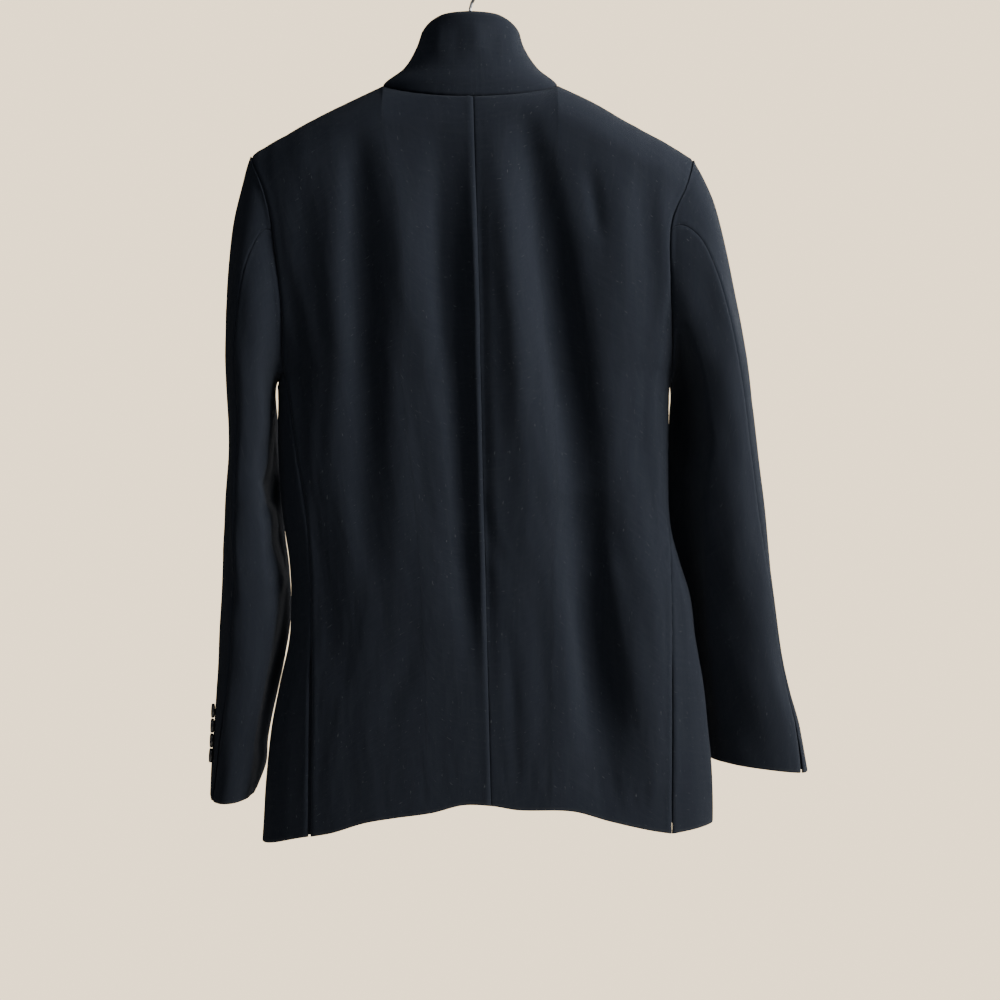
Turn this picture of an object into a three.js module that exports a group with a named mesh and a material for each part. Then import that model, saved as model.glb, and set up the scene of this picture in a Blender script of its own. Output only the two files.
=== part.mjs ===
import * as THREE from 'three';

// A men's sport coat on a hanger. Millimetres, +Z up, the coat's front towards -Y.
// The origin is the inside top of the hanger's hook, where a rail carries it.
// +X is the wearer's left. The coat leans a little, so left and right have their own sizes.

// Driving sizes
const CLOTH = 2;
const COLLAR_CLOTH = 2.6;
const LAPEL_CLOTH = 2.4;
const SEAM_GAP = 0.3;
const ARMHOLE_GAP = 0.5;
const TORSO_POWER = 2.5;
const SHOULDER_ROUND = 40;
const NECK_HALF_WIDTH = 90.6;
const NECK_DEPTH = 46;
const NECK_SIDE_Z = -140;
const NECK_BACK_DROP = 14.5;
const NECK_FRONT_DROP = 48;
const UNDERARM_DIP = 14;
const VENT_TOP_Z = -712;
const VENT_OPEN = { left: 3.6, right: 1.4 };
const CUFF_VENT_TOP_Z = { left: -767, right: -745 };
const CUFF_VENT_OPEN = 4;
const SLEEVE_POWER = 2.2;
const FRONT_LAP = 3.4;
const FRONT_LAP_REACH = 45;
const LAID_ON = 0.9;
const CUFF_BUTTON = { across: 15, thick: 3.2, pitch: 15.5 };
const FRONT_BUTTON = { across: 20, thick: 3.6, x: -8, heights: [-570, -672] };
const HOOK = { wire: 3.2, inner: 20, shaftFoot: -134 };

const CLOTH_COLOUR = 0x191d27;
const BUTTON_COLOUR = 0x23262b;
const HANGER_COLOUR = 0x2b2b2d;
const WIRE_COLOUR = 0x9a9a9c;

// A table is a list of named columns, the first of which is the height or the place along a row.
function table(names, rows) {
  const sorted = [...rows].sort((a, b) => a[0] - b[0]);
  return { names, rows: sorted };
}

// The smooth value of a column at a place, held level past the table's ends.
function lookUp(source, name, at) {
  const column = source.names.indexOf(name);
  const rows = source.rows;
  const last = rows.length - 1;
  if (at <= rows[0][0]) return rows[0][column];
  if (at >= rows[last][0]) return rows[last][column];
  let i = 0;
  while (rows[i + 1][0] < at) i += 1;
  const slope = (k) => {
    const low = rows[Math.max(k - 1, 0)];
    const high = rows[Math.min(k + 1, last)];
    return (high[column] - low[column]) / (high[0] - low[0]);
  };
  const span = rows[i + 1][0] - rows[i][0];
  const f = (at - rows[i][0]) / span;
  const f2 = f * f;
  const f3 = f2 * f;
  return (2 * f3 - 3 * f2 + 1) * rows[i][column] + (f3 - 2 * f2 + f) * span * slope(i)
    + (3 * f2 - 2 * f3) * rows[i + 1][column] + (f3 - f2) * span * slope(i + 1);
}

// The torso's rings: how far it reaches to the left and right, to the back and to the front.
const TORSO = table(['z', 'left', 'right', 'back', 'front'], [
  [-140, 240, -240, 52, 50],
  [-220, 240, -240, 55, 53],
  [-300, 236, -238, 60, 58],
  [-380, 220, -223, 60, 60],
  [-425, 205, -212, 58, 60],
  [-440, 200, -207.5, 57, 60],
  [-465, 199, -205.5, 56, 60],
  [-500, 199, -205, 55, 59],
  [-540, 197.5, -205, 54, 58],
  [-576, 195, -205.5, 53, 57],
  [-600, 192, -208, 53, 57],
  [-631, 187.5, -216.5, 53, 57],
  [-668, 185.5, -228, 54, 57],
  [-712, 187.5, -233.5, 55, 57],
  [-755, 196.5, -241, 56, 57],
  [-802, 205.5, -246, 57, 57],
  [-859, 211.5, -251, 58, 57],
  [-922, 215.3, -251.5, 60, 58],
]);

// The shoulder line's height at each distance from the neck's middle.
const SHOULDER = table(['x', 'left', 'right'], [
  [90, -140, -139.5],
  [128, -158, -157.5],
  [160, -173.8, -176],
  [192, -191.8, -193.5],
  [212, -203, -204.5],
  [228, -214.5, -215],
  [245, -227, -228],
]);

// Where the back's and the front's armholes run, and the side seams below them.
const SEAMS = table(['z', 'centre', 'backLeft', 'backRight', 'frontLeft', 'frontRight'], [
  [-140, -3, 229, -233, 229, -233],
  [-214, -5, 226, -231, 226, -231],
  [-246, -6, 213.5, -223.5, 209, -214],
  [-279, -7.2, 205, -208, 196, -200],
  [-306, -8, 201.5, -204.5, 189, -193],
  [-340, -9, 196.7, -205.5, 185, -189],
  [-378, -10, 193.6, -208, 182, -188],
  [-425, -10.5, 193.5, -209.4, 180, -188],
  [-466, -11.3, 186.4, -205.2, 176, -184],
  [-524, -12.4, 178.2, -204.8, 170, -180],
  [-576, -13.7, 169.4, -205.3, 166, -178],
  [-631, -15.3, 165, -206.5, 165, -182],
  [-712, -17.5, 163.8, -207, 167, -192],
  [-922, -22.7, 165.3, -208, 172, -205],
]);

// The back's hem, by distance across.
const BACK_HEM = table(['x', 'z'], [
  [-208, -910.5],
  [-184, -906.4],
  [-144, -897],
  [-105, -886.5],
  [-50, -885],
  [-22.7, -880.8],
  [7, -880],
  [39, -888],
  [78, -893.5],
  [109, -899],
  [141, -909],
  [165, -913.6],
]);

// The side panels' hem, from the back seam round to the front seam.
const SIDE_HEM = table(['part', 'left', 'right'], [
  [0, -912.8, -898.8],
  [0.28, -920.5, -895.5],
  [0.6, -920, -895.5],
  [1, -914, -902],
]);

// The fronts' inner edge: the roll line, the lapped edge and the curve at the hem.
const FRONT_EDGE = table(['z', 'left', 'right'], [
  [-172, 62, -62],
  [-300, 43, -48],
  [-400, 25, -32],
  [-500, 4, -12],
  [-572, -23, 7],
  [-726, -23, 7],
  [-768, -18, 2],
  [-806, -5, -11],
  [-835, 14, -30],
  [-854, 38, -54],
  [-866, 66, -82],
]);
const FRONT_HEM = { left: -914, right: -902, centre: -866 };

// The back's hanging folds. A row is a height, the fold's middle, its half width and its depth.
const FOLD_COLUMNS = ['z', 'x', 'half', 'depth'];
const BACK_FOLDS = [
  table(FOLD_COLUMNS, [[-180, 118, 14, 0], [-240, 117, 15, 4.5], [-480, 111, 17, 5.5], [-700, 108, 18, 0]]),
  table(FOLD_COLUMNS, [[-190, 12, 11, 0], [-300, 12, 13, 4.5], [-620, 2, 12, 5.5], [-760, 0, 12, 0]]),
  table(FOLD_COLUMNS, [
    [-165, -55, 15, 0], [-210, -62, 17, 7], [-345, -82, 19, 10], [-485, -101, 20, 11],
    [-610, -115, 20, 10], [-745, -132, 18, 5], [-830, -138, 18, 0],
  ]),
  table(FOLD_COLUMNS, [[-225, 170, 13, 0], [-280, 168, 14, 3.5], [-370, 163, 14, 0]]),
  table(FOLD_COLUMNS, [[-225, -176, 12, 0], [-290, -178, 13, 4], [-400, -180, 14, 3.5], [-520, -180, 14, 0]]),
];
const FRONT_FOLDS = [
  table(FOLD_COLUMNS, [[-220, 150, 16, 0], [-300, 146, 17, 4], [-520, 138, 18, 4.5], [-700, 132, 18, 0]]),
  table(FOLD_COLUMNS, [[-220, -152, 16, 0], [-320, -148, 18, 5], [-560, -136, 18, 4], [-740, -130, 18, 0]]),
];

function foldDepth(folds, x, z) {
  return folds.reduce((sum, fold) => {
    const away = (x - lookUp(fold, 'x', z)) / lookUp(fold, 'half', z);
    return sum + Math.max(lookUp(fold, 'depth', z), 0) * Math.exp(-away * away);
  }, 0);
}

// The ring angle is 0 at the wearer's left, a quarter turn at the back and minus a quarter turn in front.
function power(value, exponent) {
  return Math.sign(value) * Math.abs(value) ** exponent;
}

function ringX(angle, z) {
  const left = lookUp(TORSO, 'left', z);
  const right = lookUp(TORSO, 'right', z);
  return (left + right) / 2 + (left - right) / 2 * power(Math.cos(angle), 2 / TORSO_POWER);
}

function ringAngle(x, z) {
  const left = lookUp(TORSO, 'left', z);
  const right = lookUp(TORSO, 'right', z);
  const across = THREE.MathUtils.clamp((x - (left + right) / 2) / ((left - right) / 2), -0.999, 0.999);
  return Math.acos(power(across, TORSO_POWER / 2));
}

// The neck's oval, by its own angle: 0 at the wearer's left, a quarter turn at the back.
function neckHeight(lift) {
  const drop = lift > 0 ? NECK_BACK_DROP : NECK_FRONT_DROP;
  return NECK_SIDE_Z - drop * Math.abs(lift) ** 1.3;
}

function topLine(x, toBack) {
  const side = x > 0 ? 'left' : 'right';
  if (Math.abs(x) > NECK_HALF_WIDTH) return { y: 0, z: lookUp(SHOULDER, side, Math.abs(x)) };
  const lift = Math.sqrt(1 - (x / NECK_HALF_WIDTH) ** 2) * (toBack ? 1 : -1);
  return { y: NECK_DEPTH * lift, z: neckHeight(lift) };
}

// A point of the torso at a ring angle and a height, rounded over at the shoulders.
function torsoPoint(angle, z) {
  const x = ringX(angle, z);
  const toBack = Math.sin(angle) >= 0;
  const depth = lookUp(TORSO, toBack ? 'back' : 'front', z);
  const folds = foldDepth(toBack ? BACK_FOLDS : FRONT_FOLDS, x, z) * (toBack ? -1 : 1);
  const full = depth * power(Math.sin(angle), 2 / TORSO_POWER) + folds * Math.abs(Math.sin(angle));
  const top = topLine(x, toBack);
  const drop = THREE.MathUtils.clamp((top.z - z) / SHOULDER_ROUND, 0, 1);
  const turn = Math.sqrt(1 - (1 - drop) ** 2);
  return new THREE.Vector3(x, top.y + (full - top.y) * turn, z);
}

// Walls of cloth

// A closed wall between a grid of outer points and the grid of inner points under it.
function closedWall(outer, inner) {
  const rows = outer.length;
  const columns = outer[0].length;
  const position = [...outer.flat(), ...inner.flat()].flatMap((p) => [p.x, p.y, p.z]);
  const faces = [];
  const at = (layer, i, j) => layer * rows * columns + i * columns + j;
  const quad = (a, b, c, d) => faces.push(a, b, c, a, c, d);
  for (let i = 0; i < rows - 1; i += 1) {
    for (let j = 0; j < columns - 1; j += 1) {
      quad(at(0, i, j), at(0, i + 1, j), at(0, i + 1, j + 1), at(0, i, j + 1));
      quad(at(1, i, j), at(1, i, j + 1), at(1, i + 1, j + 1), at(1, i + 1, j));
    }
  }
  for (let j = 0; j < columns - 1; j += 1) {
    quad(at(0, 0, j), at(0, 0, j + 1), at(1, 0, j + 1), at(1, 0, j));
    quad(at(0, rows - 1, j + 1), at(0, rows - 1, j), at(1, rows - 1, j), at(1, rows - 1, j + 1));
  }
  for (let i = 0; i < rows - 1; i += 1) {
    quad(at(0, i + 1, 0), at(0, i, 0), at(1, i, 0), at(1, i + 1, 0));
    quad(at(0, i + 1, columns - 1), at(1, i + 1, columns - 1), at(1, i, columns - 1), at(0, i, columns - 1));
  }
  return outward(position, faces);
}

// The geometry with its faces turned outwards, found from the sign of its volume.
function outward(position, faces) {
  let volume = 0;
  const corner = (k) => new THREE.Vector3().fromArray(position, 3 * k);
  for (let k = 0; k < faces.length; k += 3) {
    volume += corner(faces[k]).dot(corner(faces[k + 1]).cross(corner(faces[k + 2])));
  }
  const ordered = volume > 0 ? faces : faces.map((_, k) => faces[k - (k % 3) + 2 - (k % 3)]);
  const geometry = new THREE.BufferGeometry();
  geometry.setAttribute('position', new THREE.Float32BufferAttribute(position, 3));
  geometry.setIndex(ordered);
  return geometry;
}

function grid(rows, columns, pointAt) {
  return Array.from({ length: rows }, (_, i) => Array.from({ length: columns }, (__, j) => pointAt(i, j)));
}

function fractions(count) {
  return Array.from({ length: count }, (_, i) => i / (count - 1));
}

// The torso surface's normal, pointing out of the coat.
function torsoNormal(angle, z) {
  const step = 0.004;
  const rise = 1;
  const round = torsoPoint(angle + step, z).sub(torsoPoint(angle - step, z));
  const up = torsoPoint(angle, z + rise).sub(torsoPoint(angle, z - rise));
  return round.cross(up).normalize();
}

// The normal at the top edge, where the back and the front meet back to back.
function topNormal(x, toBack) {
  const step = 1;
  if (Math.abs(x) > NECK_HALF_WIDTH) {
    const slope = (topLine(x + step, toBack).z - topLine(x - step, toBack).z) / (2 * step);
    return new THREE.Vector3(-slope, 0, 1).normalize();
  }
  const y = topLine(x, toBack).y;
  return new THREE.Vector3(x / NECK_HALF_WIDTH ** 2, y / NECK_DEPTH ** 2, 0).normalize();
}

// A panel of the torso, from its places: rows of ring angle and height, with their normals.
function torsoPanel(places, topIsSeam) {
  const outer = places.map((row) => row.map(({ angle, z }) => torsoPoint(angle, z)));
  const normals = places.map((row, i) => row.map(({ angle, z }, j) => {
    const toBack = Math.sin(angle) >= 0;
    return i === 0 && topIsSeam ? topNormal(outer[0][j].x, toBack) : torsoNormal(angle, z);
  }));
  const inner = outer.map((row, i) => row.map((p, j) => p.clone().addScaledVector(normals[i][j], -CLOTH)));
  return { places, outer, inner, normals };
}

// The places of a back or front panel. Each column keeps its part of the way between two seams, which
// say the ring angle at a height, and its rows run from the shoulder or neck down to the hem. Every
// panel's columns run round the coat the same way, from the left over the back to the right.
function hungPlaces({ parts, firstSeam, lastSeam, toBack, hemAt }) {
  const place = (drop, part) => {
    let z = -300;
    let angle = 0;
    for (let turn = 0; turn < 14; turn += 1) {
      angle = firstSeam(z) + (lastSeam(z) - firstSeam(z)) * part;
      const x = ringX(angle, z);
      const top = topLine(x, toBack).z;
      const fall = drop.fixed + drop.share * (top - hemAt(x, part) - drop.fixedFull);
      z = 0.5 * z + 0.5 * (top - fall);
    }
    return { angle, z };
  };
  return ROW_DROPS.map((drop) => parts.map((part) => place(drop, part)));
}

// The columns' parts of the way between two seams, with one column on the point where neck and shoulder meet.
function splitParts(firstSeam, lastSeam, neckAngle, before, after) {
  const z = NECK_SIDE_Z - 20;
  const split = (neckAngle - firstSeam(z)) / (lastSeam(z) - firstSeam(z));
  return [
    ...fractions(before + 1).map((f) => f * split),
    ...fractions(after + 1).slice(1).map((f) => split + f * (1 - split)),
  ];
}

function neckAngle(side, toBack) {
  const angle = ringAngle(side === 'left' ? NECK_HALF_WIDTH : -NECK_HALF_WIDTH, NECK_SIDE_Z);
  return toBack ? angle : -angle;
}

// The rows' drops below the top line: close together round the shoulder, then even to the hem.
function rowDrops(evenRows, roundRows) {
  const round = fractions(roundRows + 1).slice(0, -1).map((f) => ({
    fixed: SHOULDER_ROUND * (1 - Math.cos(f * Math.PI / 2)), share: 0, fixedFull: 0,
  }));
  const even = fractions(evenRows).map((f) => ({ fixed: SHOULDER_ROUND, share: f, fixedFull: SHOULDER_ROUND }));
  return [...round, ...even];
}

const ROW_DROPS = rowDrops(21, 4);

// The row that ends the armholes, at the top of the side seams.
const FOOT_ROW = 10;

// Columns on the shoulder and on the neck, and round a side panel.
const BACK_COLUMNS = [8, 6];
const FRONT_COLUMNS = [3, 8];
const SIDE_COLUMNS = 8;

// The angle that a width of cloth spans on the ring.
function angleOf(width, angle, z) {
  const step = 0.01;
  return width / (torsoPoint(angle + step, z).distanceTo(torsoPoint(angle - step, z)) / (2 * step));
}

// The slit between a back panel and its side panel: a closed seam above, an open vent below.
function sideGap(side, z) {
  const open = THREE.MathUtils.clamp((VENT_TOP_Z - z) / 40, 0, 1);
  return (SEAM_GAP + VENT_OPEN[side] * open) / 2;
}

function centreSeam(turn) {
  return (z) => {
    const angle = ringAngle(lookUp(SEAMS, 'centre', z), z);
    return angle + turn * angleOf(SEAM_GAP / 2, angle, z);
  };
}

// turn is 1 where the panel lies at larger ring angles than the seam, and -1 where it lies at smaller ones.
function sideSeamAtBack(side, turn) {
  const column = side === 'left' ? 'backLeft' : 'backRight';
  return (z) => {
    const angle = ringAngle(lookUp(SEAMS, column, z), z);
    return angle + turn * angleOf(sideGap(side, z), angle, z);
  };
}

function sideSeamInFront(side, turn) {
  const column = side === 'left' ? 'frontLeft' : 'frontRight';
  return (z) => {
    const angle = -ringAngle(lookUp(SEAMS, column, z), z);
    return angle + turn * angleOf(SEAM_GAP / 2, angle, z);
  };
}

const halfGapAtTop = (toBack) => (panel) => {
  const away = toBack ? SEAM_GAP / 2 : -SEAM_GAP / 2;
  panel.outer[0].forEach((p) => { p.y += away; });
  panel.inner[0].forEach((p) => { p.y += away; });
  return panel;
};

function backPanel(side) {
  const left = side === 'left';
  const firstSeam = left ? sideSeamAtBack('left', 1) : centreSeam(1);
  const lastSeam = left ? centreSeam(-1) : sideSeamAtBack('right', -1);
  const columns = left ? BACK_COLUMNS : [...BACK_COLUMNS].reverse();
  return halfGapAtTop(true)(torsoPanel(hungPlaces({
    parts: splitParts(firstSeam, lastSeam, neckAngle(side, true), ...columns),
    firstSeam,
    lastSeam,
    toBack: true,
    hemAt: (x) => lookUp(BACK_HEM, 'z', x),
  }), true));
}

// The side panel's rows meet the rows of its back and front at the seams. Its top dips under the arm.
function sidePanel(side, back, front) {
  const left = side === 'left';
  const [before, after] = left ? [front, back] : [back, front];
  const firstSeam = left ? sideSeamInFront('left', 1) : sideSeamAtBack('right', 1);
  const lastSeam = left ? sideSeamAtBack('left', -1) : (z) => 2 * Math.PI + sideSeamInFront('right', -1)(z);
  const rows = ROW_DROPS.length - FOOT_ROW;
  const hem = (part) => lookUp(SIDE_HEM, side, left ? 1 - part : part);
  const places = grid(rows, SIDE_COLUMNS, (i, j) => {
    const part = j / (SIDE_COLUMNS - 1);
    const down = i / (rows - 1);
    const level = THREE.MathUtils.lerp(before.places[i + FOOT_ROW].at(-1).z,
      after.places[i + FOOT_ROW][0].z, part);
    const dip = UNDERARM_DIP * Math.sin(Math.PI * part) * (1 - down) ** 3;
    const hemBow = (hem(part) - THREE.MathUtils.lerp(hem(0), hem(1), part)) * down ** 6;
    const z = level - dip + hemBow;
    return { angle: THREE.MathUtils.lerp(firstSeam(z), lastSeam(z), part), z };
  });
  return torsoPanel(places, false);
}

// The lift of the left front where it laps over the right one.
function lapLift(side, x) {
  if (side !== 'left') return 0;
  return FRONT_LAP * THREE.MathUtils.smoothstep(FRONT_LAP_REACH - x, 0, FRONT_LAP_REACH / 2);
}

function frontEdge(side) {
  return (z) => -ringAngle(lookUp(FRONT_EDGE, side, z), z);
}

function frontPanel(side) {
  const left = side === 'left';
  const firstSeam = left ? frontEdge('left') : sideSeamInFront('right', 1);
  const lastSeam = left ? sideSeamInFront('left', -1) : frontEdge('right');
  const columns = left ? FRONT_COLUMNS : [...FRONT_COLUMNS].reverse();
  const hem = left ? [FRONT_HEM.centre, FRONT_HEM.left] : [FRONT_HEM.right, FRONT_HEM.centre];
  const panel = halfGapAtTop(false)(torsoPanel(hungPlaces({
    parts: splitParts(firstSeam, lastSeam, neckAngle(side, false), ...columns),
    firstSeam,
    lastSeam,
    toBack: false,
    hemAt: (x, part) => THREE.MathUtils.lerp(...hem, part),
  }), true));
  [panel.outer, panel.inner].flat(2).forEach((p) => { p.y -= lapLift(side, p.x); });
  return panel;
}

// Pieces that lie on a front: each point is a place across and a height, lifted off the panel.
function onFront(side, x, z, lift) {
  const angle = -ringAngle(x, z);
  const normal = torsoNormal(angle, z);
  const point = torsoPoint(angle, z);
  point.y -= lapLift(side, point.x);
  return point.addScaledVector(normal, lift);
}

function laidOn(side, places, thick, lift = LAID_ON) {
  return closedWall(
    places.map((row) => row.map(([x, z]) => onFront(side, x, z, lift + thick))),
    places.map((row) => row.map(([x, z]) => onFront(side, x, z, lift))),
  );
}

// The lapel from its gorge to the top button, by the height of its roll line and its outer edge.
const LAPEL = table(['roll', 'x', 'z'], [
  [-214, 118, -230],
  [-228, 134, -254],
  [-242, 137, -272],
  [-300, 122, -318],
  [-380, 94, -392],
  [-460, 62, -468],
  [-520, 32, -526],
  [-560, 6, -563],
]);

// The heights where each lapel starts and ends on its roll line. The right one ends under the left front.
const LAPEL_REACH = { left: [-214, -552], right: [-214, -505] };

function lapel(side) {
  const sign = side === 'left' ? 1 : -1;
  const [start, end] = LAPEL_REACH[side];
  const places = fractions(13).map((down) => fractions(8).map((part) => {
    const roll = start + (end - start) * down;
    const rollX = lookUp(FRONT_EDGE, side, roll);
    return [rollX + (sign * lookUp(LAPEL, 'x', roll) - rollX) * part,
      roll + (lookUp(LAPEL, 'z', roll) - roll) * part];
  }));
  return laidOn(side, places, LAPEL_CLOTH);
}

const POCKET = { flapTop: -672, flapHigh: 52, from: 46, to: 164, thick: 2.4 };
const WELT = { from: 136, to: 184, low: -352, rise: 10, high: 24, thick: 2 };

function pocketFlap(side) {
  const sign = side === 'left' ? 1 : -1;
  const places = fractions(4).map((down) => fractions(9).map((across) => {
    const corner = Math.max(Math.abs(across - 0.5) * 2 - 0.8, 0) * 40 * down;
    const x = POCKET.from + (POCKET.to - POCKET.from) * across;
    return [sign * x, POCKET.flapTop - (POCKET.flapHigh - corner) * down];
  }));
  return laidOn(side, places, POCKET.thick);
}

function breastWelt() {
  const places = fractions(3).map((down) => fractions(5).map((across) => {
    const x = WELT.from + (WELT.to - WELT.from) * across;
    return [x, WELT.low + WELT.rise * across + WELT.high * (1 - down)];
  }));
  return laidOn('left', places, WELT.thick);
}

// The collar, turned up: it stands on the neck's oval and draws in towards its top.
const COLLAR_RISE = table(['z', 'left', 'right', 'depth'], [
  [-190, 1, 1, 1],
  [-140, 1, 1, 1],
  [-121.5, 0.76, 0.775, 0.94],
  [-101, 0.62, 0.622, 0.9],
  [-83.5, 0.553, 0.56, 0.86],
  [-67, 0.5, 0.51, 0.83],
]);

// The collar's top edge by the turn from the middle of the back, in degrees.
const COLLAR_TOP = table(['turn', 'z'], [
  [0, -67],
  [35, -69],
  [55, -73.5],
  [78, -82],
  [90, -86],
  [115, -100],
  [137, -122],
]);

function collarPoint(angle, part, inset) {
  const lift = Math.sin(angle);
  const foot = neckHeight(lift) + SEAM_GAP;
  const turn = Math.abs(THREE.MathUtils.radToDeg(angle) - 90);
  const z = foot + (lookUp(COLLAR_TOP, 'z', turn) - foot) * part;
  const side = Math.cos(angle) > 0 ? 'left' : 'right';
  const wide = NECK_HALF_WIDTH * Math.min(lookUp(COLLAR_RISE, side, z), 1);
  const deep = NECK_DEPTH * Math.min(lookUp(COLLAR_RISE, 'depth', z), 1);
  const inward = new THREE.Vector3(Math.cos(angle) / NECK_HALF_WIDTH, lift / NECK_DEPTH, 0).normalize();
  return new THREE.Vector3(wide * Math.cos(angle), deep * lift, z).addScaledVector(inward, -inset);
}

// The collar's columns stand on the corners of the panels' neck edges, from the right front round the
// back to the left front.
function collarAngles(panels) {
  const onNeck = panels.flatMap((panel) => panel.outer[0]).filter((p) => Math.abs(p.x) < NECK_HALF_WIDTH - 1);
  const angles = onNeck.map((p) => {
    const turn = Math.acos(p.x / NECK_HALF_WIDTH);
    if (p.y > 0) return turn;
    return p.x > 0 ? -turn : 2 * Math.PI - turn;
  });
  const all = [...angles, 0, Math.PI].sort((p, q) => p - q);
  return all.filter((angle, k) => k === 0 || angle - all[k - 1] > 0.03);
}

function collar(panels) {
  const angles = collarAngles(panels);
  const parts = fractions(6);
  return closedWall(
    grid(parts.length, angles.length, (i, j) => collarPoint(angles[j], parts[i], 0)),
    grid(parts.length, angles.length, (i, j) => collarPoint(angles[j], parts[i], COLLAR_CLOTH)),
  );
}

// Sleeves: a row is one ring, from its outer edge (x, z) to its inner edge, with how far to the back
// each edge lies, the ring's half depth, how far it has turned from the armhole's loop into a plain ring,
// and the angle of the back seam round it, 90 at the outer edge and 0 at the back. The back of the ring
// falls away towards the body inside of ridgeX, by the share hollow of the half depth.
const SLEEVE_COLUMNS = [
  'outX', 'outZ', 'inX', 'inZ', 'outY', 'inY', 'half', 'plain', 'backSeam', 'ridgeX', 'hollow'];
const SLEEVE_ROWS = {
  left: [
    [232.2, -217.5, 201.4, -438.6, 0, 0, 43, 0.12, 26, 206, 0],
    [237.9, -229.5, 202.2, -441, 0, 0, 46, 0.3, 26, 206, 0],
    [243.1, -259.6, 202.8, -444.5, 0, -1, 50, 0.55, 27, 206, 0],
    [250.3, -301.8, 203, -450, -1, -4, 54, 0.8, 28, 206, 0.05],
    [253.2, -352, 202.8, -458, -3, -9, 57, 0.95, 29, 206, 0.15],
    [253.9, -404, 202.4, -468, -5, -15, 59, 1, 30, 206, 0.3],
    [252.4, -450, 201.6, -485, -6, -22, 60, 1, 30, 206, 0.5],
    [250.8, -491, 201, -506, -7, -27, 60, 1, 30, 206, 0.62],
    [251.3, -522, 200.4, -526, -8, -30, 60, 1, 30, 209, 0.7],
    [252.3, -541, 199.4, -541.5, -8, -32, 60, 1, 30, 214, 0.75],
    [253, -553, 198.6, -553, -8, -32, 60, 1, 30, 217, 0.75],
    [254, -568.5, 197.4, -568.5, -8, -32, 60, 1, 30, 210, 0.72],
    [254.8, -581, 196.4, -581, -9, -32, 59, 1, 30, 205, 0.7],
    [256, -606, 193.6, -606, -9, -32, 58, 1, 31, 205, 0.7],
    [256.9, -632, 190, -632, -10, -32, 57, 1, 31, 199.5, 0.7],
    [258, -653, 188.2, -653, -10, -32, 56, 1, 32, 194.5, 0.65],
    [259, -669.5, 187.6, -669.5, -11, -32, 55, 1, 32, 197.5, 0.65],
    [260.6, -698, 188.4, -698, -12, -32, 54, 1, 33, 203, 0.65],
    [262.1, -728, 192.6, -728, -13, -33, 53, 1, 33, 208, 0.65],
    [264.2, -763, 200.6, -763, -15, -34, 52, 1, 34, 214, 0.62],
    [265.7, -790, 206.6, -790, -16, -34, 51, 1, 38, 220, 0.6],
    [267.2, -818, 211.6, -818, -18, -34, 50, 1, 43, 223, 0.55],
    [268.8, -845, 213.5, -843, -19, -33, 49, 1, 48, 224, 0.5],
    [270.9, -874.5, 223.5, -870.4, -20, -30, 48, 1, 54, 230, 0.3],
  ],
  right: [
    [-236.5, -221.5, -211.4, -438.6, 0, 0, 43, 0.12, 30, -219, 0],
    [-241, -229.7, -212, -441, 0, -4, 46, 0.3, 31, -220, 0.1],
    [-250.3, -250.3, -212, -444.5, 0, -11, 49, 0.55, 33, -223, 0.28],
    [-259.6, -275, -211, -450, 0, -18, 52, 0.78, 35, -227, 0.48],
    [-267.8, -312, -209.6, -457, 0, -25, 54, 0.92, 38, -230, 0.64],
    [-275, -355, -208.6, -466, 0, -31, 55, 1, 42, -234, 0.74],
    [-282.2, -393.5, -207.8, -476, 0, -36, 55, 1, 46, -239, 0.78],
    [-288.4, -434.7, -207.2, -488, 0, -39, 55, 1, 50, -242, 0.8],
    [-292.5, -470.7, -206.8, -499, 0, -41, 55, 1, 53, -246, 0.8],
    [-296, -506.8, -206.6, -512, -1, -42, 54, 1, 56, -250, 0.8],
    [-299.7, -543.8, -206.4, -545, -2, -43, 53, 1, 60, -244, 0.8],
    [-303.3, -575.8, -206.4, -576, -3, -44, 52, 1, 62, -243, 0.78],
    [-309, -622, -211, -622, -4, -45, 50, 1, 65, -243, 0.75],
    [-315.2, -666.4, -221, -666, -6, -46, 48, 1, 68, -245, 0.7],
    [-320.3, -702.5, -227, -702, -8, -46, 46, 1, 70, -247, 0.6],
    [-325.5, -735.4, -232.5, -735, -10, -46, 44, 1, 71, -249, 0.5],
    [-333, -768, -238, -765, -12, -46, 43, 1, 70, -251, 0.4],
    [-342, -801, -243.5, -794, -14, -45, 41, 1, 66, -254, 0.25],
    [-351.2, -849.5, -251, -837.5, -16, -43, 40, 1, 57, -258, 0.1],
  ],
};
const RIDGE_STEEPNESS = 0.45;
const UNDER_SLEEVE_COLUMNS = 15;
const FRONT_SEAM = 215;
const CUFF_DROP = { left: 9, right: 3 };

// The armhole's loop, from the shoulder point round the back to the underarm, or round the front. It
// follows the edges of the panels. foot is 1 where the loop runs along the side panel's top.
function armholeHalf(panel, edgeColumn, underarmTop) {
  const edge = fractions(FOOT_ROW + 1).map((_, i) => ({
    point: panel.outer[i].at(edgeColumn), normal: panel.normals[i].at(edgeColumn), foot: 0,
  }));
  const half = Math.floor(underarmTop.length / 2);
  const middle = {
    point: underarmTop[half - 1].point.clone().lerp(underarmTop[half].point, 0.5),
    normal: underarmTop[half - 1].normal.clone().lerp(underarmTop[half].normal, 0.5),
    foot: 1,
  };
  return [...edge, ...underarmTop.slice(0, half), middle];
}

function armholeHalves(side, back, underarm, front) {
  const top = underarm.outer[0].map((point, j) => ({ point, normal: underarm.normals[0][j], foot: 1 }));
  const fromBack = side === 'left' ? [...top].reverse() : top;
  return {
    back: armholeHalf(back, side === 'left' ? 0 : -1, fromBack),
    front: armholeHalf(front, side === 'left' ? -1 : 0, [...fromBack].reverse()),
  };
}

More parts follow.
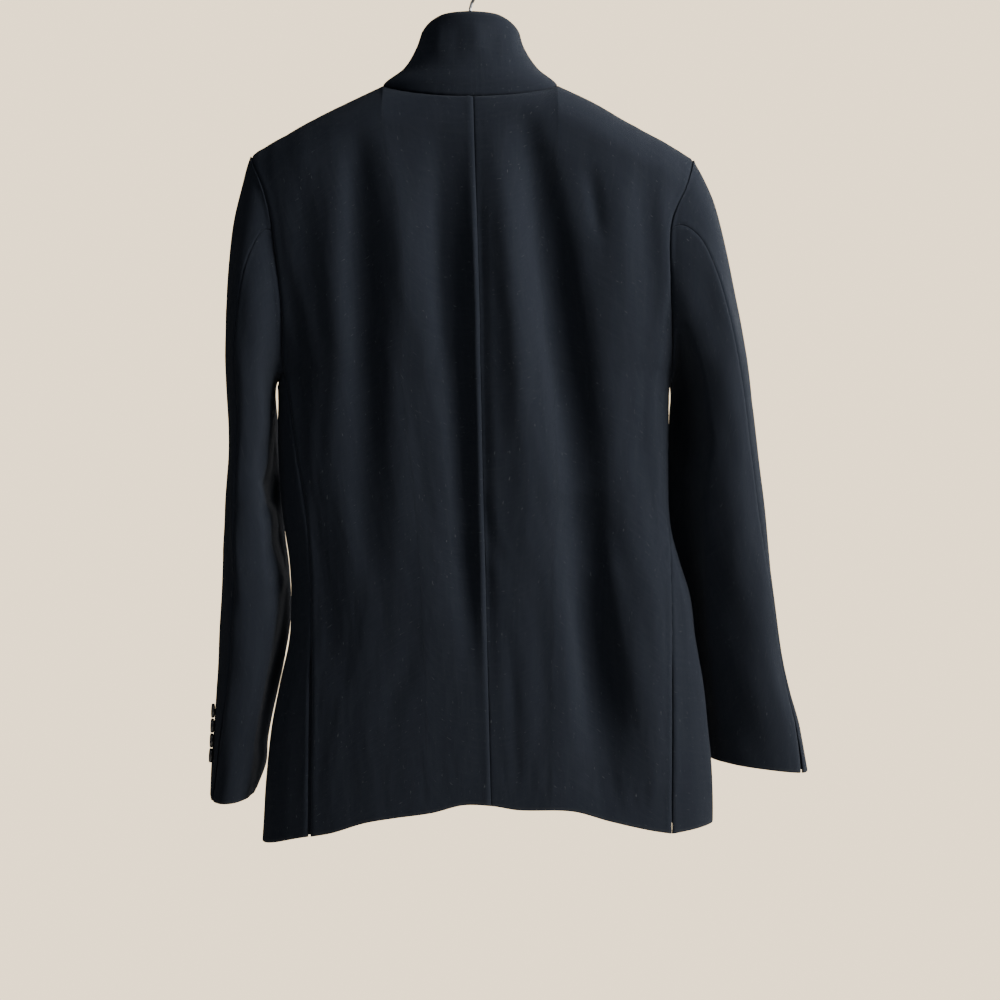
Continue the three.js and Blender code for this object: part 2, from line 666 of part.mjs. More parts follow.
// The place a share of the way along a half loop, by length.
function alongLoop(points, share) {
  const lengths = [0];
  for (let i = 1; i < points.length; i += 1) {
    lengths.push(lengths[i - 1] + points[i].point.distanceTo(points[i - 1].point));
  }
  const want = share * lengths[lengths.length - 1];
  let i = 1;
  while (i < points.length - 1 && lengths[i] < want) i += 1;
  const f = (want - lengths[i - 1]) / (lengths[i] - lengths[i - 1]);
  const mix = (key) => points[i - 1][key].clone().lerp(points[i][key], f);
  return { point: mix('point'), normal: mix('normal').normalize(), foot: THREE.MathUtils.lerp(
    points[i - 1].foot, points[i].foot, f) };
}

function makeSleeve(side, back, underarm, front) {
  const sign = side === 'left' ? 1 : -1;
  const halves = armholeHalves(side, back, underarm, front);
  const rows = SLEEVE_ROWS[side].map((row) => Object.fromEntries(
    SLEEVE_COLUMNS.map((name, k) => [name, row[k]])));

  // The loop point at a ring angle in degrees, 90 at the top, 0 at the back, -90 below, 180 in front.
  const loopAt = (angle) => {
    const turned = ((90 - angle) % 360 + 360) % 360;
    const place = turned <= 180 ? alongLoop(halves.back, turned / 180)
      : alongLoop(halves.front, (360 - turned) / 180);
    const out = new THREE.Vector3(sign * (1 - place.foot), 0, place.foot).normalize();
    place.point.addScaledVector(out, ARMHOLE_GAP);
    return place;
  };

  const ringAt = (row, angle, last) => {
    const a = THREE.MathUtils.degToRad(angle);
    const across = 0.5 + 0.5 * power(Math.sin(a), 2 / SLEEVE_POWER);
    const round = power(Math.cos(a), 2 / SLEEVE_POWER);
    const ridge = (row.ridgeX - row.inX) / (row.outX - row.inX);
    const fallen = 1 - THREE.MathUtils.smoothstep(across, ridge * RIDGE_STEEPNESS, ridge);
    const back = round > 0 ? round * (1 - row.hollow * fallen) : round;
    const drop = last && back > 0 ? CUFF_DROP[side] * back : 0;
    return new THREE.Vector3(
      row.inX + (row.outX - row.inX) * across,
      row.inY + (row.outY - row.inY) * across + row.half * back,
      row.inZ + (row.outZ - row.inZ) * across - drop,
    );
  };

  const pointAt = (i, angle) => {
    if (i === 0) return loopAt(angle).point;
    const row = rows[i - 1];
    const ring = ringAt(row, angle, i === rows.length);
    return loopAt(angle).point.lerp(ring, row.plain);
  };

  const normalAt = (i, angle) => {
    if (i === 0) return loopAt(angle).normal;
    const step = 4;
    const round = pointAt(i, angle + step).sub(pointAt(i, angle - step));
    const low = Math.min(i + 1, rows.length);
    const down = pointAt(low, angle).sub(pointAt(Math.max(i - 1, 1), angle));
    return round.cross(down).multiplyScalar(sign).normalize();
  };

  // The cloth's half gap at a seam, as an angle in degrees.
  const gapAngle = (i, angle, gap) => gap / pointAt(i, angle + 1).distanceTo(pointAt(i, angle - 1)) * 2;
  const backSeamAt = (i) => rows[Math.max(i - 1, 0)].backSeam;
  const backGap = (i) => {
    const z = pointAt(i, backSeamAt(i)).z;
    const open = THREE.MathUtils.clamp((CUFF_VENT_TOP_Z[side] - z) / 90, 0, 1);
    return (SEAM_GAP + CUFF_VENT_OPEN * open) / 2;
  };

  const panel = (columns, fromAngle, toAngle) => {
    const outer = grid(rows.length + 1, columns, (i, j) => {
      const angle = THREE.MathUtils.lerp(fromAngle(i), toAngle(i), j / (columns - 1));
      return pointAt(i, angle);
    });
    const inner = grid(rows.length + 1, columns, (i, j) => {
      const angle = THREE.MathUtils.lerp(fromAngle(i), toAngle(i), j / (columns - 1));
      return outer[i][j].clone().addScaledVector(normalAt(i, angle), -CLOTH);
    });
    return closedWall(outer, inner);
  };

  const backFrom = (turn) => (i) => backSeamAt(i) + turn * gapAngle(i, backSeamAt(i), backGap(i));
  const frontFrom = (turn, whole) => (i) => FRONT_SEAM - whole
    + turn * gapAngle(i, FRONT_SEAM, SEAM_GAP / 2);
  return {
    top: panel(11, backFrom(1), frontFrom(-1, 0)),
    under: panel(UNDER_SLEEVE_COLUMNS, frontFrom(1, 360), backFrom(-1)),
    pointAt,
    normalAt,
    rows,
  };
}

// A round button standing on a surface point, its face along the normal.
function button(point, normal, size) {
  const disc = new THREE.CylinderGeometry(size.across / 2 - 0.7, size.across / 2, size.thick, 14);
  disc.applyQuaternion(new THREE.Quaternion().setFromUnitVectors(new THREE.Vector3(0, 1, 0), normal));
  const centre = point.clone().addScaledVector(normal, size.thick / 2 + SEAM_GAP + 0.1);
  disc.translate(centre.x, centre.y, centre.z);
  return disc;
}

const CUFF_BUTTON_PLACE = {
  left: { first: -787, angle: 74 },
  right: { first: -784, angle: 124 },
};

// The sleeve's surface at a height, between its own rings.
function sleeveAtHeight(sleeve, angle, z) {
  let i = 1;
  while (i < sleeve.rows.length && sleeve.pointAt(i + 1, angle).z > z) i += 1;
  const a = sleeve.pointAt(i, angle);
  const b = sleeve.pointAt(i + 1, angle);
  const f = (a.z - z) / (a.z - b.z);
  return { point: a.lerp(b, f), normal: sleeve.normalAt(i, angle).lerp(sleeve.normalAt(i + 1, angle), f).normalize() };
}

function cuffButton(side, sleeve, index) {
  const { first, angle } = CUFF_BUTTON_PLACE[side];
  const place = sleeveAtHeight(sleeve, angle, first - index * CUFF_BUTTON.pitch);
  return button(place.point, place.normal, CUFF_BUTTON);
}

function frontButton(height) {
  const angle = -ringAngle(FRONT_BUTTON.x, height);
  return button(onFront('left', FRONT_BUTTON.x, height, 0), torsoNormal(angle, height), FRONT_BUTTON);
}

// The hanger's arms follow the shoulders from under the cloth.
const ARM = table(['x', 'drop', 'high', 'deep'], [
  [0, 0, 8, 8],
  [40, 0, 8, 8],
  [90, 0, 8.5, 9],
  [140, 0, 8.5, 13],
  [190, 0, 8, 15],
  [206, 1, 6.5, 14],
  [211, 3, 3, 8],
]);
const ARM_CENTRE_TOP = -134.3;
const ARM_SEAT = 0.85;

function armTop(x) {
  const side = x > 0 ? 'left' : 'right';
  const away = Math.abs(x);
  const onSlope = (at) => {
    const slope = (lookUp(SHOULDER, side, at + 2) - lookUp(SHOULDER, side, at - 2)) / 4;
    return lookUp(SHOULDER, side, at) - CLOTH * Math.hypot(1, slope) - ARM_SEAT;
  };
  if (away > 96) return onSlope(away);
  const f = away / 96;
  return ARM_CENTRE_TOP + (onSlope(96) - ARM_CENTRE_TOP) * (f * f * (3 - 2 * f) * 0.35 + f * f * 0.65);
}

// A solid through closed rings, capped by a fan at each end.
function ringSolid(rings) {
  const count = rings[0].length;
  const points = rings.flat();
  const centreOf = (ring) => ring.reduce((sum, p) => sum.add(p), new THREE.Vector3()).divideScalar(count);
  points.push(centreOf(rings[0]), centreOf(rings[rings.length - 1]));
  const faces = [];
  for (let i = 0; i < rings.length - 1; i += 1) {
    for (let j = 0; j < count; j += 1) {
      const next = (j + 1) % count;
      const [a, b, c, d] = [i * count + j, i * count + next, (i + 1) * count + next, (i + 1) * count + j];
      faces.push(a, b, c, a, c, d);
    }
  }
  const lastRing = (rings.length - 1) * count;
  for (let j = 0; j < count; j += 1) {
    const next = (j + 1) % count;
    faces.push(rings.length * count, next, j);
    faces.push(rings.length * count + 1, lastRing + j, lastRing + next);
  }
  return outward(points.flatMap((p) => [p.x, p.y, p.z]), faces);
}

function hangerBar() {
  const half = [0, 20, 40, 60, 75, 90, 105, 120, 135, 150, 165, 180, 194, 205, 211];
  const stations = [...half.slice(1).reverse().map((x) => -x), ...half];
  const rings = stations.map((x) => Array.from({ length: 12 }, (_, j) => {
    const a = j / 12 * 2 * Math.PI;
    const high = lookUp(ARM, 'high', Math.abs(x));
    const middle = armTop(x) - lookUp(ARM, 'drop', Math.abs(x)) - high;
    return new THREE.Vector3(x, Math.cos(a) * lookUp(ARM, 'deep', Math.abs(x)), middle + Math.sin(a) * high);
  }));
  return ringSolid(rings);
}

// The hook's wire: a straight shaft, a side bend and an arch over the origin.
function hookPath() {
  const radius = HOOK.inner + HOOK.wire / 2;
  const onArch = (degrees) => {
    const a = THREE.MathUtils.degToRad(degrees);
    return new THREE.Vector3(radius * Math.cos(a), 0, -HOOK.inner + radius * Math.sin(a));
  };
  const bendStart = new THREE.Vector3(0, 0, -62);
  const path = new THREE.CurvePath();
  const foot = new THREE.Vector3(0, 0, HOOK.shaftFoot);
  path.add(new THREE.LineCurve3(foot, bendStart));
  const archStart = onArch(215);
  const along = new THREE.Vector3(-Math.sin(Math.PI * 35 / 180), 0, Math.cos(Math.PI * 35 / 180));
  path.add(new THREE.CubicBezierCurve3(
    bendStart,
    bendStart.clone().add(new THREE.Vector3(0, 0, 13)),
    archStart.clone().addScaledVector(along, -12),
    archStart,
  ));
  path.add(new THREE.CatmullRomCurve3(fractions(12).map((f) => onArch(215 - 235 * f))));
  return path;
}

function hangerHook() {
  const round = new THREE.Shape();
  round.absarc(0, 0, HOOK.wire / 2, 0, 2 * Math.PI);
  return new THREE.ExtrudeGeometry(round, {
    steps: 34, curveSegments: 4, bevelEnabled: false, extrudePath: hookPath(),
  });
}

// Assembly

function cloth() {
  return new THREE.MeshStandardMaterial({ color: CLOTH_COLOUR, roughness: 0.92, metalness: 0 });
}

function plastic(colour) {
  return new THREE.MeshStandardMaterial({ color: colour, roughness: 0.45, metalness: 0 });
}

function wire() {
  return new THREE.MeshStandardMaterial({ color: WIRE_COLOUR, roughness: 0.3, metalness: 0.9 });
}

const coat = new THREE.Group();
const neckPanels = [];

function add(name, geometry, material) {
  const mesh = new THREE.Mesh(geometry, material);
  mesh.name = name;
  coat.add(mesh);
}

for (const side of ['left', 'right']) {
  const back = backPanel(side);
  const front = frontPanel(side);
  const underarm = sidePanel(side, back, front);
  const sleeve = makeSleeve(side, back, underarm, front);
  neckPanels.push(back, front);
  add(`back_${side}`, closedWall(back.outer, back.inner), cloth());
  add(`side_panel_${side}`, closedWall(underarm.outer, underarm.inner), cloth());
  add(`front_${side}`, closedWall(front.outer, front.inner), cloth());
  add(`lapel_${side}`, lapel(side), cloth());
  add(`pocket_flap_${side}`, pocketFlap(side), cloth());
  add(`sleeve_top_${side}`, sleeve.top, cloth());
  add(`sleeve_under_${side}`, sleeve.under, cloth());
  for (let index = 0; index < 4; index += 1) {
    add(`cuff_button_${side}_${index + 1}`, cuffButton(side, sleeve, index), plastic(BUTTON_COLOUR));
  }
}
add('breast_welt', breastWelt(), cloth());
add('collar', collar(neckPanels), cloth());
FRONT_BUTTON.heights.forEach((height, index) => {
  add(`front_button_${index + 1}`, frontButton(height), plastic(BUTTON_COLOUR));
});
add('hanger_bar', hangerBar(), plastic(HANGER_COLOUR));
add('hanger_hook', hangerHook(), wire());

export default coat;
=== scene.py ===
"""A men's sport coat on a hanger, seen from its back, with the collar turned up.

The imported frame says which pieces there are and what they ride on. Here each piece of cloth is
cut again as a fine shell on the same form, with its creases, seams, turned edges and weave, and
the sewing, the buttons with their thread, the hanger, the floor and the light are added.
Sizes are in millimetres unless a name says otherwise. Meshes are made in metres.
"""

import logging
import math
from collections.abc import Callable, Sequence
from dataclasses import dataclass, field, replace
from enum import Enum
from functools import cache

import bmesh
import bpy
import numpy as np
from mathutils import Matrix, Vector


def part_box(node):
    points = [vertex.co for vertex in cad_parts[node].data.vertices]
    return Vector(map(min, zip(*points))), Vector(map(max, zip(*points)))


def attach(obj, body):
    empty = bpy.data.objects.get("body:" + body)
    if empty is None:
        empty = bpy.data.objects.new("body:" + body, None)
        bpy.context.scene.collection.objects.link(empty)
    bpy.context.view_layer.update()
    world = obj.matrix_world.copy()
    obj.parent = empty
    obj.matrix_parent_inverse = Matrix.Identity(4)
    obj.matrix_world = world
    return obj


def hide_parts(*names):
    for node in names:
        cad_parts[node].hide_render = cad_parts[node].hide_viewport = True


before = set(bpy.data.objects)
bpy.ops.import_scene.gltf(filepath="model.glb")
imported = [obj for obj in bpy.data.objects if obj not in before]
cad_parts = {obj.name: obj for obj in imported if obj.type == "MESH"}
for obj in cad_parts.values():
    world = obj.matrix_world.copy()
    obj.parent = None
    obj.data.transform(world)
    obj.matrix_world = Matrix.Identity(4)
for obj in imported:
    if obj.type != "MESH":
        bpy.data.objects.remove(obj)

LOG = logging.getLogger("sport_coat")
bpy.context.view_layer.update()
MM = 0.001
BODY = "root"

Array = np.ndarray
Seam = Callable[[Array], Array]


class Side(Enum):
    """The wearer's left, towards +X, or right."""

    LEFT = "left"
    RIGHT = "right"

    @property
    def sign(self) -> int:
        """1 on the left and -1 on the right."""
        return 1 if self is Side.LEFT else -1


class Edge(Enum):
    """What a maker does with one edge of a piece of cloth."""

    SEAM = "seam"
    TURNED = "turned"
    HEM = "hem"
    PLAIN = "plain"


class Table:
    """Rows of named columns, looked up smoothly by the first one."""

    def __init__(self, names: Sequence[str], rows: Sequence[Sequence[float]]) -> None:
        """Sorts the rows by their first column.

        Args:
            names: the columns' names.
            rows: the rows, in any order.
        """
        self.names = list(names)
        self.rows = np.array(sorted(rows), float)

    def at(self, name: str, place: Array | float) -> Array:
        """The column's smooth value at each place, held level past the table's ends.

        Args:
            name: a column's name.
            place: values of the first column.

        Returns:
            One value for each place.
        """
        keys = self.rows[:, 0]
        values = self.rows[:, self.names.index(name)]
        last = len(keys) - 1
        place = np.clip(np.asarray(place, float), keys[0], keys[-1])
        i = np.clip(np.searchsorted(keys, place, side="right") - 1, 0, last - 1)
        low = np.maximum(np.arange(last + 1) - 1, 0)
        high = np.minimum(np.arange(last + 1) + 1, last)
        slope = (values[high] - values[low]) / (keys[high] - keys[low])
        span = keys[i + 1] - keys[i]
        f = (place - keys[i]) / span
        return ((2 * f**3 - 3 * f**2 + 1) * values[i] + (f**3 - 2 * f**2 + f) * span * slope[i]
                + (3 * f**2 - 2 * f**3) * values[i + 1] + (f**3 - f**2) * span * slope[i + 1])


def power(value: Array, exponent: float) -> Array:
    """The value's power, with its sign kept."""
    return np.sign(value) * np.abs(value) ** exponent


def smooth(value: Array | float, low: float, high: float) -> Array:
    """A soft step from 0 at low to 1 at high."""
    f = np.clip((np.asarray(value, float) - low) / (high - low), 0, 1)
    return f * f * (3 - 2 * f)


def bell(away: Array, half: Array | float) -> Array:
    """A soft bump that is 1 in its middle and fades over its half width."""
    return np.exp(-((away / half) ** 2))


def vector3(x: Array, y: Array, z: Array) -> Array:
    """Joins three arrays of coordinates into one array of points."""
    return np.stack(np.broadcast_arrays(x, y, z), axis=-1)


def unit(v: Array) -> Array:
    """The vectors at length 1."""
    return v / np.maximum(np.linalg.norm(v, axis=-1, keepdims=True), 1e-9)


def turned_out(normals: Array, towards: Array) -> Array:
    """The normals of a grid, all turned round where most face away from the given directions."""
    return normals if (normals * towards).sum() >= 0 else -normals


def linked(name: str, data: bpy.types.ID) -> bpy.types.Object:
    """Makes an object of a mesh, light or camera and links it to the scene."""
    thing = bpy.data.objects.new(name, data)
    bpy.context.scene.collection.objects.link(thing)
    return thing


FOLD_COLUMNS = ["z", "x", "half", "depth"]


class Fold:
    """A hanging fold: a soft trough whose middle, half width and depth change with the height."""

    def __init__(self, *rows: Sequence[float]) -> None:
        """Takes rows of height, middle across, half width and depth."""
        self.table = Table(FOLD_COLUMNS, rows)

    def depth_at(self, x: Array, z: Array) -> Array:
        """How deep the trough is at places across and heights."""
        away = x - self.table.at("x", z)
        return np.maximum(self.table.at("depth", z), 0) * bell(away, self.table.at("half", z))


@dataclass(frozen=True)
class Crease:
    """A soft trough along a bowed line, or a ridge where its depth is negative.

    Attributes:
        start: its first end, across and height.
        end: its other end.
        half: its half width.
        depth: how deep it is in its middle.
        bow: how far its middle stands off the straight line.
        lean: how much steeper its first side is, from -0.8 to 0.8.
        taper: how fast it fades at its ends.
    """

    start: tuple[float, float]
    end: tuple[float, float]
    half: float
    depth: float
    bow: float = 0.0
    lean: float = 0.0
    taper: float = 0.8

    def depth_at(self, across: Array, down: Array) -> Array:
        """How deep it is at places of the cloth."""
        dx, dz = self.end[0] - self.start[0], self.end[1] - self.start[1]
        length = math.hypot(dx, dz)
        along = ((across - self.start[0]) * dx + (down - self.start[1]) * dz) / length**2
        inside = np.clip(along, 0, 1)
        off = ((across - self.start[0]) * dz - (down - self.start[1]) * dx) / length
        off = off - self.bow * (1 - (2 * inside - 1) ** 2)
        half = self.half * (1 + self.lean * np.sign(off))
        return self.depth * np.sin(np.pi * inside) ** self.taper * bell(off, half)


class Waves:
    """Slow uneven waves of cloth that has been worn, the same on every run."""

    def __init__(self, seed: int, size: float, across: tuple[float, float],
                 down: tuple[float, float], count: int = 12) -> None:
        """Draws the waves.

        Args:
            seed: the seed of the random draws.
            size: the height of one wave.
            across: the shortest and longest wave across the cloth.
            down: the shortest and longest wave along its length.
            count: how many waves are laid over each other.
        """
        draw = np.random.default_rng(seed)
        self.kx = 2 * np.pi / draw.uniform(*across, count) * draw.choice([-1, 1], count)
        self.kz = 2 * np.pi / draw.uniform(*down, count)
        self.phase = draw.uniform(0, 2 * np.pi, count)
        self.size = size * draw.uniform(0.4, 1.0, count)

    def at(self, across: Array, down: Array) -> Array:
        """The waves' height at places of the cloth."""
        turn = across[..., None] * self.kx + down[..., None] * self.kz + self.phase
        return (np.sin(turn) * self.size).sum(-1) / math.sqrt(len(self.size))


@dataclass
class CoatForm:
    """The coat's body as rings: its cut lines, its outline and its largest hanging folds.

    The ring angle is 0 at the wearer's left, a quarter turn at the back and minus a quarter turn
    in front.
    """

    ring_power: float = 2.5
    shoulder_round: float = 40
    neck_half_width: float = 90.6
    neck_depth: float = 46
    neck_side_z: float = -140
    neck_back_drop: float = 14.5
    neck_front_drop: float = 48
    underarm_dip: float = 14
    seam_gap: float = -0.4
    vent_top_z: float = -712
    vent_open: dict[Side, float] = field(default_factory=lambda: {Side.LEFT: 3.6, Side.RIGHT: 1.4})
    front_lap: float = 3.4
    front_lap_reach: float = 45
    torso: Table = field(default_factory=lambda: Table(["z", "left", "right", "back", "front"], [
        (-140, 240, -240, 52, 50), (-220, 240, -240, 55, 53), (-300, 236, -238, 60, 58),
        (-380, 220, -223, 60, 60), (-425, 205, -212, 58, 60), (-440, 200, -207.5, 57, 60),
        (-465, 199, -205.5, 56, 60), (-500, 199, -205, 55, 59), (-540, 197.5, -205, 54, 58),
        (-576, 195, -205.5, 53, 57), (-600, 192, -208, 53, 57), (-631, 187.5, -216.5, 53, 57),
        (-668, 185.5, -228, 54, 57), (-712, 187.5, -233.5, 55, 57), (-755, 196.5, -241, 56, 57),
        (-802, 205.5, -246, 57, 57), (-859, 211.5, -251, 58, 57), (-922, 215.3, -251.5, 60, 58),
    ]))
    shoulder: Table = field(default_factory=lambda: Table(["x", "left", "right"], [
        (90, -140, -139.5), (128, -158, -157.5), (160, -173.8, -176), (192, -191.8, -193.5),
        (212, -203, -204.5), (228, -214.5, -215), (245, -227, -228),
    ]))
    seams: Table = field(default_factory=lambda: Table(
        ["z", "centre", "back_left", "back_right", "front_left", "front_right"], [
            (-140, -3, 229, -233, 229, -233), (-214, -5, 226, -231, 226, -231),
            (-246, -6, 213.5, -223.5, 209, -214), (-279, -7.2, 205, -208, 196, -200),
            (-306, -8, 201.5, -204.5, 189, -193), (-340, -9, 196.7, -205.5, 185, -189),
            (-378, -10, 193.6, -208, 182, -188), (-425, -10.5, 193.5, -209.4, 180, -188),
            (-466, -11.3, 186.4, -205.2, 176, -184), (-524, -12.4, 178.2, -204.8, 170, -180),
            (-576, -13.7, 169.4, -205.3, 166, -178), (-631, -15.3, 165, -206.5, 165, -182),
            (-712, -17.5, 163.8, -207, 167, -192), (-922, -22.7, 165.3, -208, 172, -205),
        ]))
    back_hem: Table = field(default_factory=lambda: Table(["x", "z"], [
        (-208, -910.5), (-184, -906.4), (-144, -897), (-105, -886.5), (-50, -885), (-22.7, -880.8),
        (7, -880), (39, -888), (78, -893.5), (109, -899), (141, -909), (165, -913.6),
    ]))
    side_hem: Table = field(default_factory=lambda: Table(["part", "left", "right"], [
        (0, -912.8, -898.8), (0.28, -920.5, -895.5), (0.6, -920, -895.5), (1, -914, -902),
    ]))
    front_edge: Table = field(default_factory=lambda: Table(["z", "left", "right"], [
        (-172, 62, -62), (-300, 43, -48), (-400, 25, -32), (-500, 4, -12), (-572, -23, 7),
        (-726, -23, 7), (-768, -18, 2), (-806, -5, -11), (-835, 14, -30), (-854, 38, -54),
        (-866, 66, -82),
    ]))
    front_hem: dict[str, float] = field(default_factory=lambda: {
        "left": -914, "right": -902, "centre": -866})
    back_folds: list[Fold] = field(default_factory=lambda: [
        Fold((-180, 118, 14, 0), (-240, 117, 15, 4.5), (-480, 111, 17, 5.5), (-700, 108, 18, 0)),
        Fold((-190, 12, 11, 0), (-300, 12, 13, 4.5), (-620, 2, 12, 5.5), (-760, 0, 12, 0)),
        Fold((-165, -55, 15, 0), (-210, -62, 17, 7), (-345, -82, 19, 10), (-485, -101, 20, 11),
             (-610, -115, 20, 10), (-745, -132, 18, 5), (-830, -138, 18, 0)),
        Fold((-225, 170, 13, 0), (-280, 168, 14, 3.5), (-370, 163, 14, 0)),
        Fold((-225, -176, 12, 0), (-290, -178, 13, 4), (-400, -180, 14, 3.5), (-520, -180, 14, 0)),
    ])
    front_folds: list[Fold] = field(default_factory=lambda: [
        Fold((-220, 150, 16, 0), (-300, 146, 17, 4), (-520, 138, 18, 4.5), (-700, 132, 18, 0)),
        Fold((-220, -152, 16, 0), (-320, -148, 18, 5), (-560, -136, 18, 4), (-740, -130, 18, 0)),
    ])

    def ring_x(self, angle: Array, z: Array) -> Array:
        """The place across at a ring angle and a height."""
        left, right = self.torso.at("left", z), self.torso.at("right", z)
        return (left + right) / 2 + (left - right) / 2 * power(np.cos(angle), 2 / self.ring_power)

    def ring_angle(self, x: Array, z: Array) -> Array:
        """The ring angle, from 0 to half a turn, of a place across at a height."""
        left, right = self.torso.at("left", z), self.torso.at("right", z)
        across = np.clip((x - (left + right) / 2) / ((left - right) / 2), -0.999, 0.999)
        return np.arccos(power(across, self.ring_power / 2))

    def neck_height(self, lift: Array) -> Array:
        """The neck seam's height where lift is 1 at the middle of the back and -1 in front."""
        drop = np.where(lift > 0, self.neck_back_drop, self.neck_front_drop)
        return self.neck_side_z - drop * np.abs(lift) ** 1.3

    def top_line(self, x: Array, face: Array | float) -> tuple[Array, Array]:
        """The depth and height of the shoulder line or neck seam.

        Args:
            x: places across.
            face: 1 for the back and -1 for the front.

        Returns:
            The y and the z of the line there.
        """
        lift = np.sqrt(np.clip(1 - (x / self.neck_half_width) ** 2, 0, 1)) * face
        past_neck = np.abs(x) > self.neck_half_width
        shoulder = np.where(x > 0, self.shoulder.at("left", np.abs(x)),
                            self.shoulder.at("right", np.abs(x)))
        return (np.where(past_neck, 0, self.neck_depth * lift),
                np.where(past_neck, shoulder, self.neck_height(lift)))

    def point(self, angle: Array, z: Array) -> Array:
        """The body's outer surface at ring angles and heights, rounded over at the shoulders."""
        x = self.ring_x(angle, z)
        face = np.where(np.sin(angle) >= 0, 1.0, -1.0)
        depth = np.where(face > 0, self.torso.at("back", z), self.torso.at("front", z))
        folds = np.where(face > 0, -sum(f.depth_at(x, z) for f in self.back_folds),
                         sum(f.depth_at(x, z) for f in self.front_folds))
        full = depth * power(np.sin(angle), 2 / self.ring_power) + folds * np.abs(np.sin(angle))
        top_y, top_z = self.top_line(x, face)
        drop = np.clip((top_z - z) / self.shoulder_round, 0, 1)
        return vector3(x, top_y + (full - top_y) * np.sqrt(1 - (1 - drop) ** 2), z)

    def angle_of(self, width: Array | float, angle: Array, z: Array) -> Array:
        """The ring angle that a width of cloth spans."""
        step = 0.01
        reach = np.linalg.norm(self.point(angle + step, z) - self.point(angle - step, z), axis=-1)
        return width * 2 * step / reach

    def vent_gap(self, side: Side, z: Array) -> Array:
        """Half the slit beside a side vent: a closed seam above, open below."""
        opened = np.clip((self.vent_top_z - z) / 40, 0, 1)
        return (self.seam_gap + self.vent_open[side] * opened) / 2

    def centre_seam(self, turn: int) -> Seam:
        """The centre back seam, a hair to one side of it."""
        def at(z: Array) -> Array:
            angle = self.ring_angle(self.seams.at("centre", z), z)
            return angle + turn * self.angle_of(self.seam_gap / 2, angle, z)
        return at

    def side_seam_at_back(self, side: Side, turn: int) -> Seam:
        """The armhole's back edge and the seam and vent below it."""
        def at(z: Array) -> Array:
            angle = self.ring_angle(self.seams.at(f"back_{side.value}", z), z)
            return angle + turn * self.angle_of(self.vent_gap(side, z), angle, z)
        return at

    def side_seam_in_front(self, side: Side, turn: int) -> Seam:
        """The armhole's front edge and the seam below it."""
        def at(z: Array) -> Array:
            angle = -self.ring_angle(self.seams.at(f"front_{side.value}", z), z)
            return angle + turn * self.angle_of(self.seam_gap / 2, angle, z)
        return at

    def front_edge_seam(self, side: Side) -> Seam:
        """A front's own edge: the roll line above and the lapped edge below."""
        return lambda z: -self.ring_angle(self.front_edge.at(side.value, z), z)

    def lap_lift(self, side: Side, x: Array) -> Array:
        """How far the left front is lifted where it laps over the right one."""
        if side is Side.RIGHT:
            return np.zeros_like(x)
        return self.front_lap * smooth(self.front_lap_reach - x, 0, self.front_lap_reach / 2)

    def on_front(self, side: Side, x: Array, z: Array, lift: Array | float) -> Array:
        """Points lifted off a front.

        Args:
            side: which front.
            x: places across.
            z: heights.
            lift: how far off the front's outer surface.

        Returns:
            The points.
        """
        angle = -self.ring_angle(x, z)
        step, rise = 0.004, 1.0
        around = self.point(angle + step, z) - self.point(angle - step, z)
        up = self.point(angle, z + rise) - self.point(angle, z - rise)
        point = self.point(angle, z)
        point[..., 1] -= self.lap_lift(side, point[..., 0])
        return point + unit(np.cross(around, up)) * np.asarray(lift)[..., None]


